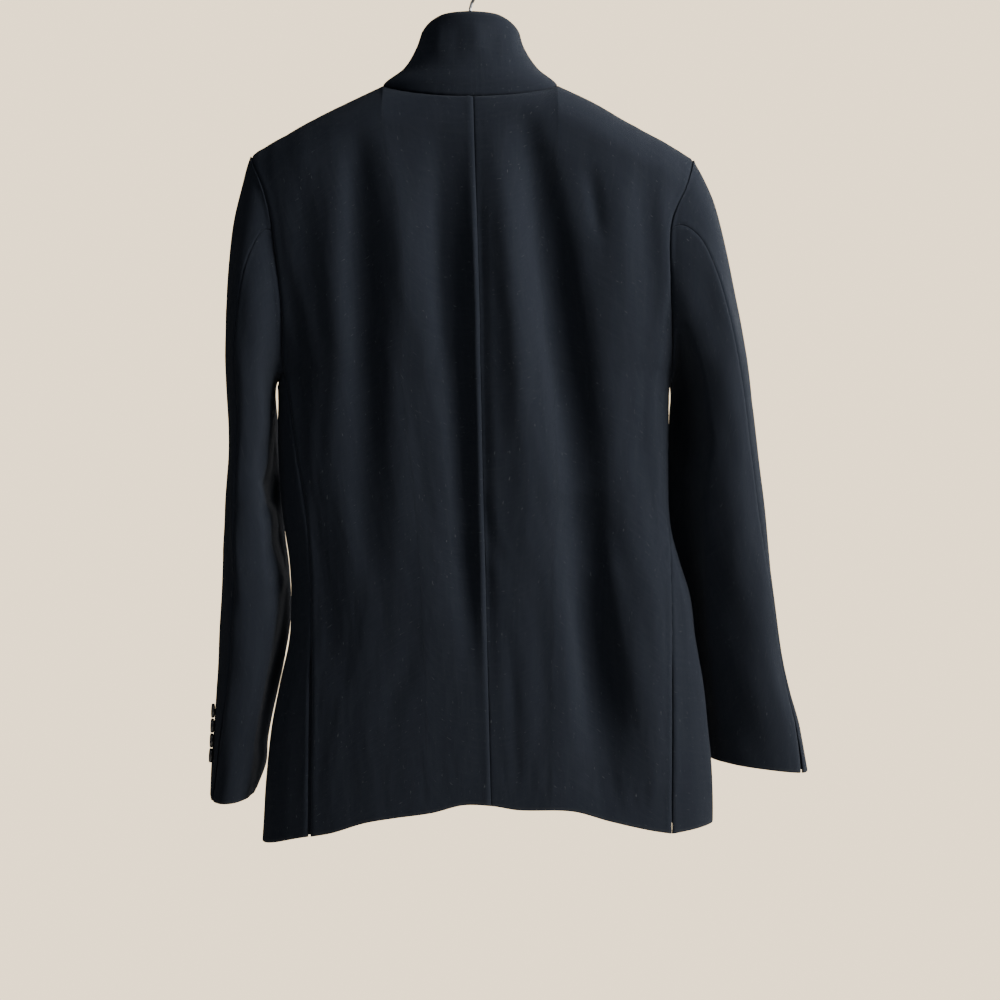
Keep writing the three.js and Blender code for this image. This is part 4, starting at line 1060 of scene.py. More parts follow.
@dataclass
class Body:
    """The coat's body: two backs, two side panels and two fronts."""

    room: Workroom
    thick: float = 1.6
    even_rows: int = 20
    rows_each: int = 8
    round_rows: int = 14
    foot_share: float = 0.3
    back_columns: tuple[int, int] = (44, 34)
    front_columns: tuple[int, int] = (18, 46)
    side_columns: int = 26
    underlay_wide: float = 30
    underlay_back: float = 14
    underlay_foot: dict[Side, float] = field(default_factory=lambda: {
        Side.LEFT: -911.5, Side.RIGHT: -899.5})
    underlay_slope: float = 0.32
    crease_scale: float = 1.9
    underlay_sunk: float = 2.6
    drag_ridge: float = 2.4
    drag_ridge_at: float = 4.5
    drag_ridge_half: float = 3.6
    drag_fall: float = 2.8
    drag_fall_at: float = -3.5
    drag_fall_half: float = 4.6
    pucker_from: float = -182
    pucker_to: float = 150
    pucker_pitch: float = 15.0
    pucker_above_hem: float = 26
    pucker_left_share: float = 0.45

    def __post_init__(self) -> None:
        """Works out the rows' drops below the top line."""
        form = self.room.form
        round_part = np.concatenate([[0, 0.012, 0.03], np.linspace(0, 1, self.round_rows + 1)[1:-1]])
        even = np.linspace(0, 1, self.even_rows * self.rows_each + 1)
        low = 1 - np.array([0.6, 1.4, 2.6])[::-1] / 700
        even = np.unique(np.concatenate([even, low]))
        self.fixed = np.concatenate([form.shoulder_round * (1 - np.cos(round_part * np.pi / 2)),
                                     np.full(len(even), form.shoulder_round)])
        self.share = np.concatenate([np.zeros(len(round_part)), even])
        self.foot_row = int(np.argmin(np.abs(self.share - self.foot_share)))
        self.back_waves = Waves(11, 0.45, (30, 110), (110, 420))
        self.fine_waves = Waves(12, 0.12, (9, 26), (40, 130), 16)

    def places(self, parts: Array, first: Seam, last: Seam, face: int,
               hem_at: Callable[[Array, Array], Array]) -> tuple[Array, Array]:
        """Ring angles and heights of a hung panel's grid.

        Args:
            parts: each column's part of the way between the two seams.
            first: the first seam's ring angle by height.
            last: the last seam's.
            face: 1 for the back and -1 for the front.
            hem_at: the hem's height by place across and part.

        Returns:
            The angles and the heights, rows by columns.
        """
        form = self.room.form
        z = np.full((len(self.share), len(parts)), -300.0)
        for _ in range(24):
            start = first(z)
            angle = start + (last(z) - start) * parts
            x = form.ring_x(angle, z)
            _, top = form.top_line(x, face)
            full = self.share[:, None] * (top - hem_at(x, parts) - form.shoulder_round)
            z = 0.5 * z + 0.5 * (top - self.fixed[:, None] - full)
        start = first(z)
        return start + (last(z) - start) * parts, z

    def split_parts(self, first: Seam, last: Seam, corner: float, before: int, after: int,
                    wide: float) -> Array:
        """Parts of the way between two seams with a column where the neck meets the shoulder.

        Args:
            first: the first seam's ring angle by height.
            last: the last seam's.
            corner: the ring angle where the neck meets the shoulder.
            before: the steps before that column.
            after: the steps after it.
            wide: the panel's width.

        Returns:
            The parts, in order.
        """
        z = np.array(self.room.form.neck_side_z - 20.0)
        start, end = float(first(z)), float(last(z))
        split = (corner - start) / (end - start)
        one = edge_fractions(before, wide * split) * split
        two = split + edge_fractions(after, wide * (1 - split)) * (1 - split)
        return np.concatenate([one, two[1:]])

    def corner_angle(self, side: Side, face: int) -> float:
        """The ring angle where the neck meets the shoulder."""
        form = self.room.form
        return face * float(form.ring_angle(np.array(side.sign * form.neck_half_width),
                                            np.array(form.neck_side_z)))

    def top_normals(self, x: Array, face: int) -> Array:
        """The normals at the top edge, where the back and the front meet back to back."""
        form = self.room.form
        _, ahead = form.top_line(x + 1, face)
        _, behind = form.top_line(x - 1, face)
        y, _ = form.top_line(x, face)
        shoulder = unit(vector3(-(ahead - behind) / 2, 0 * x, 0 * x + 1))
        neck = unit(vector3(x / form.neck_half_width**2, y / form.neck_depth**2, 0 * x))
        return np.where((np.abs(x) > form.neck_half_width)[:, None], shoulder, neck)

    def cloth_grid(self, angle: Array, z: Array, face: int | None, edges: tuple) -> ClothGrid:
        """The cloth on the form at a grid of places, with its listed creases and slow waves.

        Args:
            angle: the ring angles.
            z: the heights.
            face: 1 for a back, -1 for a front, or nothing for a side panel.
            edges: the finish of the top, foot, first and last edge.

        Returns:
            The grid, with its edges finished.
        """
        form = self.room.form
        points = form.point(angle, z)
        normals = turned_out(grid_normals(points), points * [1, 1, 0])
        if face is not None:
            normals[0] = self.top_normals(points[0, :, 0], face)
            points[0, :, 1] += face * form.seam_gap / 2
        x = points[..., 0]
        back = np.clip(np.sin(angle), 0, 1) ** 0.5
        front = np.clip(-np.sin(angle), 0, 1) ** 0.5
        sink = back * self.crease_scale * sum(crease.depth_at(x, z) for crease in BACK_CREASES)
        sink = sink + front * sum(crease.depth_at(x, z) for crease in FRONT_CREASES)
        sink = sink + self.seam_drag(x, z) * back + self.hem_puckers(x, z) * back
        around = angle * 200
        rest = smooth(form.neck_side_z - z, 10, 90)
        sink = sink + (self.back_waves.at(around, z) + self.fine_waves.at(around, z)) * rest
        grid = ClothGrid(points - normals * sink[..., None], normals, self.thick, edges)
        grid.finish_edges()
        return grid

    def seam_drag(self, x: Array, z: Array) -> Array:
        """The centre seam pulls: a ridge on its left and a fall on its right."""
        gap = x - self.room.form.seams.at("centre", z)
        pull = smooth(z, -800, -660) * (1 - smooth(z, -330, -200)) * 0.8 + 0.2
        ridge = self.drag_ridge * bell(gap - self.drag_ridge_at, self.drag_ridge_half)
        fall = self.drag_fall * bell(gap - self.drag_fall_at, self.drag_fall_half)
        return pull * (fall - ridge)

    def hem_puckers(self, x: Array, z: Array) -> Array:
        """Short upright puckers where the hem is caught, most of them right of the centre seam."""
        draw = np.random.default_rng(5)
        sink = np.zeros_like(x)
        for middle in np.arange(self.pucker_from, self.pucker_to, self.pucker_pitch):
            middle += draw.uniform(-5, 5)
            high, deep = draw.uniform(10, 26), draw.uniform(0.3, 1.0)
            deep *= 1.0 if middle < -20 else self.pucker_left_share
            base = self.room.form.back_hem.at("z", middle) + self.pucker_above_hem
            lean = draw.uniform(-0.15, 0.15)
            away = x - middle - lean * (z - base)
            sink += deep * bell(away, draw.uniform(3.0, 5.5)) * bell(z - base - high / 2, high)
        return sink

    def back(self, side: Side) -> ClothGrid:
        """One back panel."""
        form, left = self.room.form, side is Side.LEFT
        first = form.side_seam_at_back(side, 1) if left else form.centre_seam(1)
        last = form.centre_seam(-1) if left else form.side_seam_at_back(side, -1)
        columns = self.back_columns if left else self.back_columns[::-1]
        parts = self.split_parts(first, last, self.corner_angle(side, 1), *columns, 210)
        angle, z = self.places(parts, first, last, 1, lambda x, part: form.back_hem.at("z", x))
        return self.cloth_grid(angle, z, 1, (Edge.SEAM, Edge.HEM, Edge.SEAM, Edge.SEAM))

    def front(self, side: Side) -> ClothGrid:
        """One front, from its own edge to the side seam."""
        form, left = self.room.form, side is Side.LEFT
        first = form.front_edge_seam(side) if left else form.side_seam_in_front(side, 1)
        last = form.side_seam_in_front(side, -1) if left else form.front_edge_seam(side)
        columns = self.front_columns if left else self.front_columns[::-1]
        parts = self.split_parts(first, last, self.corner_angle(side, -1), *columns, 200)
        hem = ((form.front_hem["centre"], form.front_hem["left"]) if left
               else (form.front_hem["right"], form.front_hem["centre"]))
        angle, z = self.places(parts, first, last, -1,
                               lambda x, part: hem[0] + (hem[1] - hem[0]) * part + 0 * x)
        edges = ((Edge.SEAM, Edge.HEM, Edge.TURNED, Edge.SEAM) if left
                 else (Edge.SEAM, Edge.HEM, Edge.SEAM, Edge.TURNED))
        grid = self.cloth_grid(angle, z, -1, edges)
        grid.outer[..., 1] -= form.lap_lift(side, grid.outer[..., 0])
        return grid

    def side_panel(self, side: Side, back: ClothGrid, front: ClothGrid) -> ClothGrid:
        """The side body under the arm, whose rows meet its neighbours' at the seams."""
        form, left = self.room.form, side is Side.LEFT
        before, after = (front, back) if left else (back, front)
        first = form.side_seam_in_front(side, 1) if left else form.side_seam_at_back(side, 1)
        front_right = form.side_seam_in_front(side, -1)
        last = form.side_seam_at_back(side, -1) if left else lambda z: 2 * np.pi + front_right(z)
        part = edge_fractions(self.side_columns, 90)[None, :]
        down = self.share[self.foot_row:, None]
        down = (down - down[0]) / (down[-1] - down[0])
        start = before.outer[self.foot_row:, -1, 2][:, None]
        end = after.outer[self.foot_row:, 0, 2][:, None]
        level = start + (end - start) * part
        across = 1 - part if left else part
        hem = form.side_hem.at(side.value, across)
        ends = hem[:, :1], hem[:, -1:]
        dip = form.underarm_dip * np.sin(np.pi * part) * (1 - down) ** 3
        z = level - dip + (hem - ends[0] - (ends[1] - ends[0]) * part) * down**6
        angle = first(z) + (last(z) - first(z)) * part
        return self.cloth_grid(angle, z, None, (Edge.SEAM, Edge.HEM, Edge.SEAM, Edge.SEAM))

    def underlay(self, side: Side) -> ClothGrid:
        """The side panel's own cloth that goes on under the back at the vent."""
        form = self.room.form
        seam = form.side_seam_at_back(side, 0)
        z = np.linspace(form.vent_top_z + 26, self.underlay_foot[side], 70)[:, None]
        start = seam(z)
        reach = form.angle_of(1.0, start, z) * side.sign
        wide = np.linspace(-self.underlay_back, self.underlay_wide, 22)[None, :]
        z = z + self.underlay_slope * np.clip(wide, 0, None) * smooth(z, -700, -905)
        points = form.point(start + reach * wide, z + 0 * wide)
        normals = turned_out(grid_normals(points), points * [1, 1, 0])
        points = points - normals * self.underlay_sunk
        return ClothGrid(points, normals, self.thick * 0.8,
                         (Edge.PLAIN, Edge.TURNED, Edge.PLAIN, Edge.PLAIN))

    def build(self) -> dict[Side, dict[str, ClothGrid]]:
        """Builds and dresses the six panels and the vents' underlays.

        Returns:
            Each side's grids by name, which the sleeves and the collar start from.
        """
        grids: dict[Side, dict[str, ClothGrid]] = {}
        for side in Side:
            back, front = self.back(side), self.front(side)
            middle = self.side_panel(side, back, front)
            grids[side] = {"back": back, "front": front, "side_panel": middle}
            for name, grid in grids[side].items():
                node = f"{name}_{side.value}"
                self.room.cloth(f"{node}_cloth", grid, node)
            self.room.cloth(f"vent_underlay_{side.value}", self.underlay(side))
        return grids


SLEEVE_COLUMNS = ["row", "out_x", "out_z", "in_x", "in_z", "out_y", "in_y", "half", "plain", "seam",
                  "ridge_x", "hollow"]

# One row for each ring down a sleeve: its outer and inner edge, how far to the back each lies, its
# half depth, how far it has turned from the armhole's loop into a plain ring, its back seam, and
# where its back starts to fall away towards the body and by what share.
SLEEVE_ROWS = {
    Side.LEFT: [
        (232.2, -217.5, 201.4, -438.6, 0, 0, 43, 0.12, 26, 206, 0),
        (237.9, -229.5, 202.2, -441, 0, 0, 46, 0.3, 26, 206, 0),
        (243.1, -259.6, 202.8, -444.5, 0, -1, 50, 0.55, 27, 206, 0),
        (250.3, -301.8, 203, -450, -1, -4, 54, 0.8, 28, 206, 0.05),
        (253.2, -352, 202.8, -458, -3, -9, 57, 0.95, 29, 206, 0.15),
        (253.9, -404, 202.4, -468, -5, -15, 59, 1, 30, 206, 0.3),
        (252.4, -450, 201.6, -485, -6, -22, 60, 1, 30, 206, 0.5),
        (250.8, -491, 201, -506, -7, -27, 60, 1, 30, 206, 0.62),
        (251.3, -522, 200.4, -526, -8, -30, 60, 1, 30, 209, 0.7),
        (252.3, -541, 199.4, -541.5, -8, -32, 60, 1, 30, 214, 0.75),
        (253, -553, 198.6, -553, -8, -32, 60, 1, 30, 217, 0.75),
        (254, -568.5, 197.4, -568.5, -8, -32, 60, 1, 30, 210, 0.72),
        (254.8, -581, 196.4, -581, -9, -32, 59, 1, 30, 205, 0.7),
        (256, -606, 193.6, -606, -9, -32, 58, 1, 31, 205, 0.7),
        (256.9, -632, 190, -632, -10, -32, 57, 1, 31, 199.5, 0.7),
        (258, -653, 188.2, -653, -10, -32, 56, 1, 32, 194.5, 0.65),
        (259, -669.5, 187.6, -669.5, -11, -32, 55, 1, 32, 197.5, 0.65),
        (260.6, -698, 188.4, -698, -12, -32, 54, 1, 33, 203, 0.65),
        (262.1, -728, 192.6, -728, -13, -33, 53, 1, 33, 208, 0.65),
        (264.2, -763, 200.6, -763, -15, -34, 52, 1, 34, 214, 0.62),
        (265.7, -790, 206.6, -790, -16, -34, 51, 1, 38, 220, 0.6),
        (267.2, -818, 211.6, -818, -18, -34, 50, 1, 43, 223, 0.55),
        (268.8, -845, 213.5, -843, -19, -33, 49, 1, 48, 224, 0.5),
        (270.9, -874.5, 223.5, -870.4, -20, -30, 48, 1, 54, 230, 0.3),
    ],
    Side.RIGHT: [
        (-236.5, -221.5, -211.4, -438.6, 0, 0, 43, 0.12, 30, -219, 0),
        (-241, -229.7, -212, -441, 0, -4, 46, 0.3, 31, -220, 0.1),
        (-250.3, -250.3, -212, -444.5, 0, -11, 49, 0.55, 33, -223, 0.28),
        (-259.6, -275, -211, -450, 0, -18, 52, 0.78, 35, -227, 0.48),
        (-267.8, -312, -209.6, -457, 0, -25, 54, 0.92, 38, -230, 0.64),
        (-275, -355, -208.6, -466, 0, -31, 55, 1, 42, -234, 0.74),
        (-282.2, -393.5, -207.8, -476, 0, -36, 55, 1, 46, -239, 0.78),
        (-288.4, -434.7, -207.2, -488, 0, -39, 55, 1, 50, -242, 0.8),
        (-292.5, -470.7, -206.8, -499, 0, -41, 55, 1, 53, -246, 0.8),
        (-296, -506.8, -206.6, -512, -1, -42, 54, 1, 56, -250, 0.8),
        (-299.7, -543.8, -206.4, -545, -2, -43, 53, 1, 60, -244, 0.8),
        (-303.3, -575.8, -206.4, -576, -3, -44, 52, 1, 62, -243, 0.78),
        (-309, -622, -211, -622, -4, -45, 50, 1, 65, -243, 0.75),
        (-315.2, -666.4, -221, -666, -6, -46, 48, 1, 68, -245, 0.7),
        (-320.3, -702.5, -227, -702, -8, -46, 46, 1, 70, -247, 0.6),
        (-325.5, -735.4, -232.5, -735, -10, -46, 44, 1, 71, -249, 0.5),
        (-333, -768, -238, -765, -12, -46, 43, 1, 70, -251, 0.4),
        (-342, -801, -243.5, -794, -14, -45, 41, 1, 66, -254, 0.25),
        (-351.2, -849.5, -251, -837.5, -16, -43, 40, 1, 57, -258, 0.1),
    ],
}

# Creases on a sleeve: the first number is its ring angle in degrees, 90 outside, 0 at the back and
# -90 inside, and the second is the height.
SLEEVE_CREASES = {
    Side.LEFT: [
        Crease((58, -285), (66, -370), 9, 2.4, 2),
        Crease((30, -250), (20, -420), 13, 1.8, 4),
        Crease((62, -500), (24, -690), 11, 2.6, -7),
        Crease((44, -505), (8, -700), 8, -2.6, -7),
        Crease((-64, -545), (-20, -590), 11, 3.6, 3),
        Crease((-60, -500), (-8, -548), 13, 2.2, -4),
        Crease((-54, -600), (0, -640), 11, 1.8, 4),
        Crease((-34, -700), (-22, -860), 7, -2.4, 3),
        Crease((-52, -690), (-46, -868), 12, 3.0, 2),
        Crease((20, -720), (10, -850), 15, 1.3, -3),
        Crease((80, -620), (70, -760), 13, 1.6, 4),
        Crease((150, -330), (165, -520), 16, 2.4, 4),
        Crease((190, -520), (240, -600), 14, 3.0, 5),
        Crease((130, -600), (200, -680), 14, 2.0, 5),
    ],
    Side.RIGHT: [
        Crease((66, -260), (74, -420), 12, 2.0, 3),
        Crease((30, -270), (12, -470), 12, 2.4, 4),
        Crease((46, -460), (34, -680), 14, 2.2, -4),
        Crease((-10, -420), (-50, -520), 13, 2.6, 4),
        Crease((84, -470), (92, -640), 12, -1.8, 3),
        Crease((10, -560), (-20, -700), 14, 1.8, 4),
        Crease((60, -690), (54, -830), 12, 1.4, -3),
        Crease((20, -710), (0, -820), 14, -1.4, 3),
        Crease((96, -680), (104, -800), 12, 1.2, 3),
        Crease((150, -340), (160, -540), 16, 2.4, 4),
        Crease((200, -500), (250, -580), 14, 3.0, 5),
        Crease((130, -620), (190, -700), 14, 2.0, 5),
    ],
}


@dataclass
class Sleeve:
    """A two-piece sleeve set into its armhole, with a vent at the cuff."""

    room: Workroom
    side: Side
    panels: dict[str, ClothGrid]
    foot_row: int
    thick: float = 1.6
    ring_power: float = 2.2
    front_seam: float = 215
    armhole_gap: float = 0.15
    vent_open: float = 4
    vent_top: dict[Side, float] = field(default_factory=lambda: {Side.LEFT: -767, Side.RIGHT: -745})
    cuff_drop: dict[Side, float] = field(default_factory=lambda: {Side.LEFT: 9, Side.RIGHT: 3})
    rows_each: int = 7
    columns: int = 46
    degree: float = 0.72
    ridge_steepness: float = 0.45
    seam_groove: float = 0.35
    head_roll: float = 1.7
    head_roll_row: float = 0.75
    head_roll_half: float = 0.7
    underlay_from: float = -7
    underlay_to: float = 22
    underlay_sunk: float = 2.5
    underlay_thick: float = 1.3

    def __post_init__(self) -> None:
        """Makes the ring table and the armhole's two half loops."""
        rows = SLEEVE_ROWS[self.side]
        self.count = len(rows)
        start = (0, *rows[0][:7], 0, *rows[0][8:])
        self.table = Table(SLEEVE_COLUMNS, [start, *[(k + 1, *row) for k, row in enumerate(rows)]])
        left = self.side is Side.LEFT
        top = self.panels["side_panel"].outer[0]
        top = top[::-1] if left else top
        foot = self.foot_row + 1
        self.back_loop = self.half_loop(self.panels["back"].outer[:foot, 0 if left else -1], top)
        self.front_loop = self.half_loop(self.panels["front"].outer[:foot, -1 if left else 0], top[::-1])
        self.waves = Waves(21 + self.side.sign, 0.5, (25, 70), (60, 240))

    @staticmethod
    def half_loop(edge: Array, underarm: Array) -> tuple[Array, Array, Array]:
        """The armhole from the shoulder point to the underarm: points, lengths and being underneath."""
        half = len(underarm) // 2
        middle = (underarm[half - 1] + underarm[half]) / 2
        points = np.concatenate([edge, underarm[:half], middle[None]])
        under = np.concatenate([np.zeros(len(edge)), np.ones(half + 1)])
        steps = np.linalg.norm(np.diff(points, axis=0), axis=-1)
        return points, np.concatenate([[0], np.cumsum(steps)]), under

    def loop(self, angle: Array) -> Array:
        """The armhole's point at ring angles in degrees."""
        turned = np.mod(90 - angle, 360)
        found = []
        for points, lengths, under in (self.back_loop, self.front_loop):
            share = np.where(turned <= 180, turned, 360 - turned) / 180 * lengths[-1]
            place = vector3(*(np.interp(share, lengths, points[:, k]) for k in range(3)))
            foot = np.interp(share, lengths, under)
            out = unit(vector3(self.side.sign * (1 - foot), 0 * foot, foot))
            found.append(place + out * self.armhole_gap)
        return np.where((turned <= 180)[..., None], *found)

    def point(self, t: Array, angle: Array) -> Array:
        """The sleeve's surface at a place down its rows and a ring angle in degrees."""
        t, angle = np.broadcast_arrays(t, angle)
        row = {name: self.table.at(name, t) for name in SLEEVE_COLUMNS[1:]}
        turn = np.radians(angle)
        across = 0.5 + 0.5 * power(np.sin(turn), 2 / self.ring_power)
        back = power(np.cos(turn), 2 / self.ring_power)
        ridge = (row["ridge_x"] - row["in_x"]) / (row["out_x"] - row["in_x"])
        fallen = 1 - smooth(across, ridge * self.ridge_steepness, ridge)
        back = np.where(back > 0, back * (1 - row["hollow"] * fallen), back)
        drop = self.cuff_drop[self.side] * np.maximum(back, 0) * np.clip(t - self.count + 1, 0, 1)
        ring = vector3(row["in_x"] + (row["out_x"] - row["in_x"]) * across,
                       row["in_y"] + (row["out_y"] - row["in_y"]) * across + row["half"] * back,
                       row["in_z"] + (row["out_z"] - row["in_z"]) * across - drop)
        plain = row["plain"][..., None]
        return self.loop(angle) * (1 - plain) + ring * plain

    def rows(self) -> Array:
        """Places down the sleeve, closer together at the armhole and at the cuff."""
        even = np.linspace(0, self.count, self.count * self.rows_each + 1)[1:-1]
        near = [0, 0.04, 0.09, 0.15, 0.24]
        low = self.count - np.array([0.1, 0.05, 0.02, 0])
        even = even[(even > 0.3) & (even < self.count - 0.14)]
        return np.concatenate([near, even, low])

    def seam_gap_at(self, t: Array) -> Array:
        """Half the gap at the back seam: closed above and open at the cuff vent, in degrees."""
        seam = self.table.at("seam", t)
        height = self.point(t, seam)[..., 2]
        opened = np.clip((self.vent_top[self.side] - height) / 90, 0, 1)
        return self.degrees_of((0.12 + self.vent_open * opened) / 2, t, seam)

    def degrees_of(self, width: Array | float, t: Array, angle: Array) -> Array:
        """The angle in degrees that a width of cloth spans on the ring."""
        reach = np.linalg.norm(self.point(t, angle + 1) - self.point(t, angle - 1), axis=-1)
        return width * 2 / reach

    def grid(self, t: Array, angle: Array, edges: tuple) -> ClothGrid:
        """The sleeve's cloth, with its creases, its head and its slow waves.

        Args:
            t: places down its rows.
            angle: ring angles in degrees.
            edges: the finish of the top, foot, first and last edge.

        Returns:
            The grid, with its edges finished.
        """
        points = self.point(t, angle)
        step_a, step_t = 0.6, 0.05
        around = self.point(t, angle + step_a) - self.point(t, angle - step_a)
        down = self.point(np.minimum(t + step_t, self.count), angle) - self.point(
            np.maximum(t - step_t, 0), angle)
        normals = unit(np.cross(around, down)) * self.side.sign
        z = points[..., 2]
        arc = angle * self.degree
        sink = sum(replace(crease, start=(crease.start[0] * self.degree, crease.start[1]),
                           end=(crease.end[0] * self.degree, crease.end[1])).depth_at(arc, z)
                   for crease in SLEEVE_CREASES[self.side])
        rest = smooth(t, 1.5, 4)
        sink = sink + self.waves.at(arc, z) * rest
        upper = np.clip(np.sin(np.radians(angle)), 0, 1)
        sink = sink - self.head_roll * upper * bell(t - self.head_roll_row, self.head_roll_half)
        grid = ClothGrid(points - normals * sink[..., None], normals, self.thick, edges)
        grid.groove = self.seam_groove
        grid.finish_edges()
        return grid

    def build(self) -> None:
        """Builds and dresses the top sleeve, the under sleeve and the vent's underlay."""
        t = self.rows()[:, None]
        seam, gap = self.table.at("seam", t), self.seam_gap_at(t)
        hair = self.degrees_of(0.06, t, self.front_seam + 0 * t)
        part = edge_fractions(self.columns, 120)[None, :]
        top_start, top_end = seam + gap, self.front_seam - hair
        under_start, under_end = self.front_seam - 360 + hair, seam - gap
        edges = (Edge.SEAM, Edge.HEM, Edge.SEAM, Edge.SEAM)
        top = self.grid(t + 0 * part, top_start + (top_end - top_start) * part, edges)
        under = self.grid(t + 0 * part, under_start + (under_end - under_start) * part, edges)
        name = self.side.value
        self.room.cloth(f"sleeve_top_{name}_cloth", top, f"sleeve_top_{name}")
        self.room.cloth(f"sleeve_under_{name}_cloth", under, f"sleeve_under_{name}")
        self.room.cloth(f"cuff_underlay_{name}", self.underlay())

    def underlay(self) -> ClothGrid:
        """The under sleeve's own cloth that goes on under the top sleeve at the cuff vent."""
        probe = np.linspace(1, self.count, 400)
        heights = self.point(probe, self.table.at("seam", probe))[..., 2]
        start = float(np.interp(-self.vent_top[self.side] - 12, -heights, probe))
        t = np.linspace(start, self.count - 0.12, 36)[:, None]
        wide = np.linspace(self.underlay_from, self.underlay_to, 14)[None, :]
        seam = self.table.at("seam", t)
        angle = seam + self.degrees_of(1.0, t, seam) * wide
        points = self.point(t + 0 * wide, angle)
        normals = turned_out(grid_normals(points), np.array([self.side.sign, 1.0, 0.0]))
        return ClothGrid(points - normals * self.underlay_sunk, normals, self.underlay_thick,
                         (Edge.PLAIN, Edge.TURNED, Edge.PLAIN, Edge.PLAIN))


@dataclass
class Collar:
    """The collar, turned up so that its undercollar is outside."""

    room: Workroom
    thick: float = 2.4
    rows: int = 34
    columns: int = 190
    rise: Table = field(default_factory=lambda: Table(["z", "left", "right", "depth"], [
        (-190, 1, 1, 1), (-140, 1, 1, 1), (-121.5, 0.76, 0.775, 0.94), (-101, 0.62, 0.622, 0.9),
        (-83.5, 0.553, 0.56, 0.86), (-67, 0.5, 0.51, 0.83),
    ]))
    top: Table = field(default_factory=lambda: Table(["turn", "z"], [
        (0, -67), (35, -69), (55, -73.5), (78, -82), (90, -86), (115, -100), (137, -122),
    ]))
    creases: tuple[Crease, ...] = (
        Crease((33, -76), (35, -112), 6, -1.3, 1),
        Crease((-5, -72), (-6, -112), 7, -1.1, 1),
        Crease((-45, -76), (-42, -112), 7, -1.3, 1),
        Crease((14, -74), (16, -120), 8, 1.0, 1),
        Crease((-26, -74), (-24, -120), 8, 1.0, -1),
        Crease((60, -96), (84, -130), 9, 0.9, 2),
        Crease((-62, -98), (-84, -130), 9, 0.9, -2),
    )

    def point(self, angle: Array, part: Array) -> Array:
        """The collar's outer surface at ring angles and parts of its height."""
        form = self.room.form
        lift = np.sin(angle)
        foot = form.neck_height(lift) + 0.1
        turn = np.abs(np.degrees(angle) - 90)
        z = foot + (self.top.at("z", turn) - foot) * part
        rise = np.where(np.cos(angle) > 0, self.rise.at("left", z), self.rise.at("right", z))
        wide = form.neck_half_width * np.minimum(rise, 1)
        deep = form.neck_depth * np.minimum(self.rise.at("depth", z), 1)
        return vector3(wide * np.cos(angle), deep * lift, z)

    def build(self) -> None:
        """Builds and dresses the collar."""
        ends = self.front_ends()
        angle = np.linspace(*ends, self.columns)[None, :]
        part = edge_fractions(self.rows, 80)[:, None]
        angle, part = np.broadcast_arrays(angle, part)
        points = self.point(angle, part)
        form = self.room.form
        normals = unit(vector3(np.cos(angle) / form.neck_half_width, np.sin(angle) / form.neck_depth,
                               0 * angle))
        back = np.clip(np.sin(angle), 0, 1) ** 0.5
        sink = back * sum(c.depth_at(points[..., 0], points[..., 2]) for c in self.creases)
        grid = ClothGrid(points - normals * sink[..., None], normals, self.thick,
                         (Edge.SEAM, Edge.TURNED, Edge.TURNED, Edge.TURNED))
        grid.finish_edges()
        self.room.cloth("collar_cloth", grid, "collar")

    def front_ends(self) -> tuple[float, float]:
        """The ring angles of the collar's two front ends, read from its solid's own reach."""
        low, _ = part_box("collar")
        in_front = -low[1] / MM / self.room.form.neck_depth
        turn = math.asin(min(max(in_front, 0), 1))
        return -turn, math.pi + turn


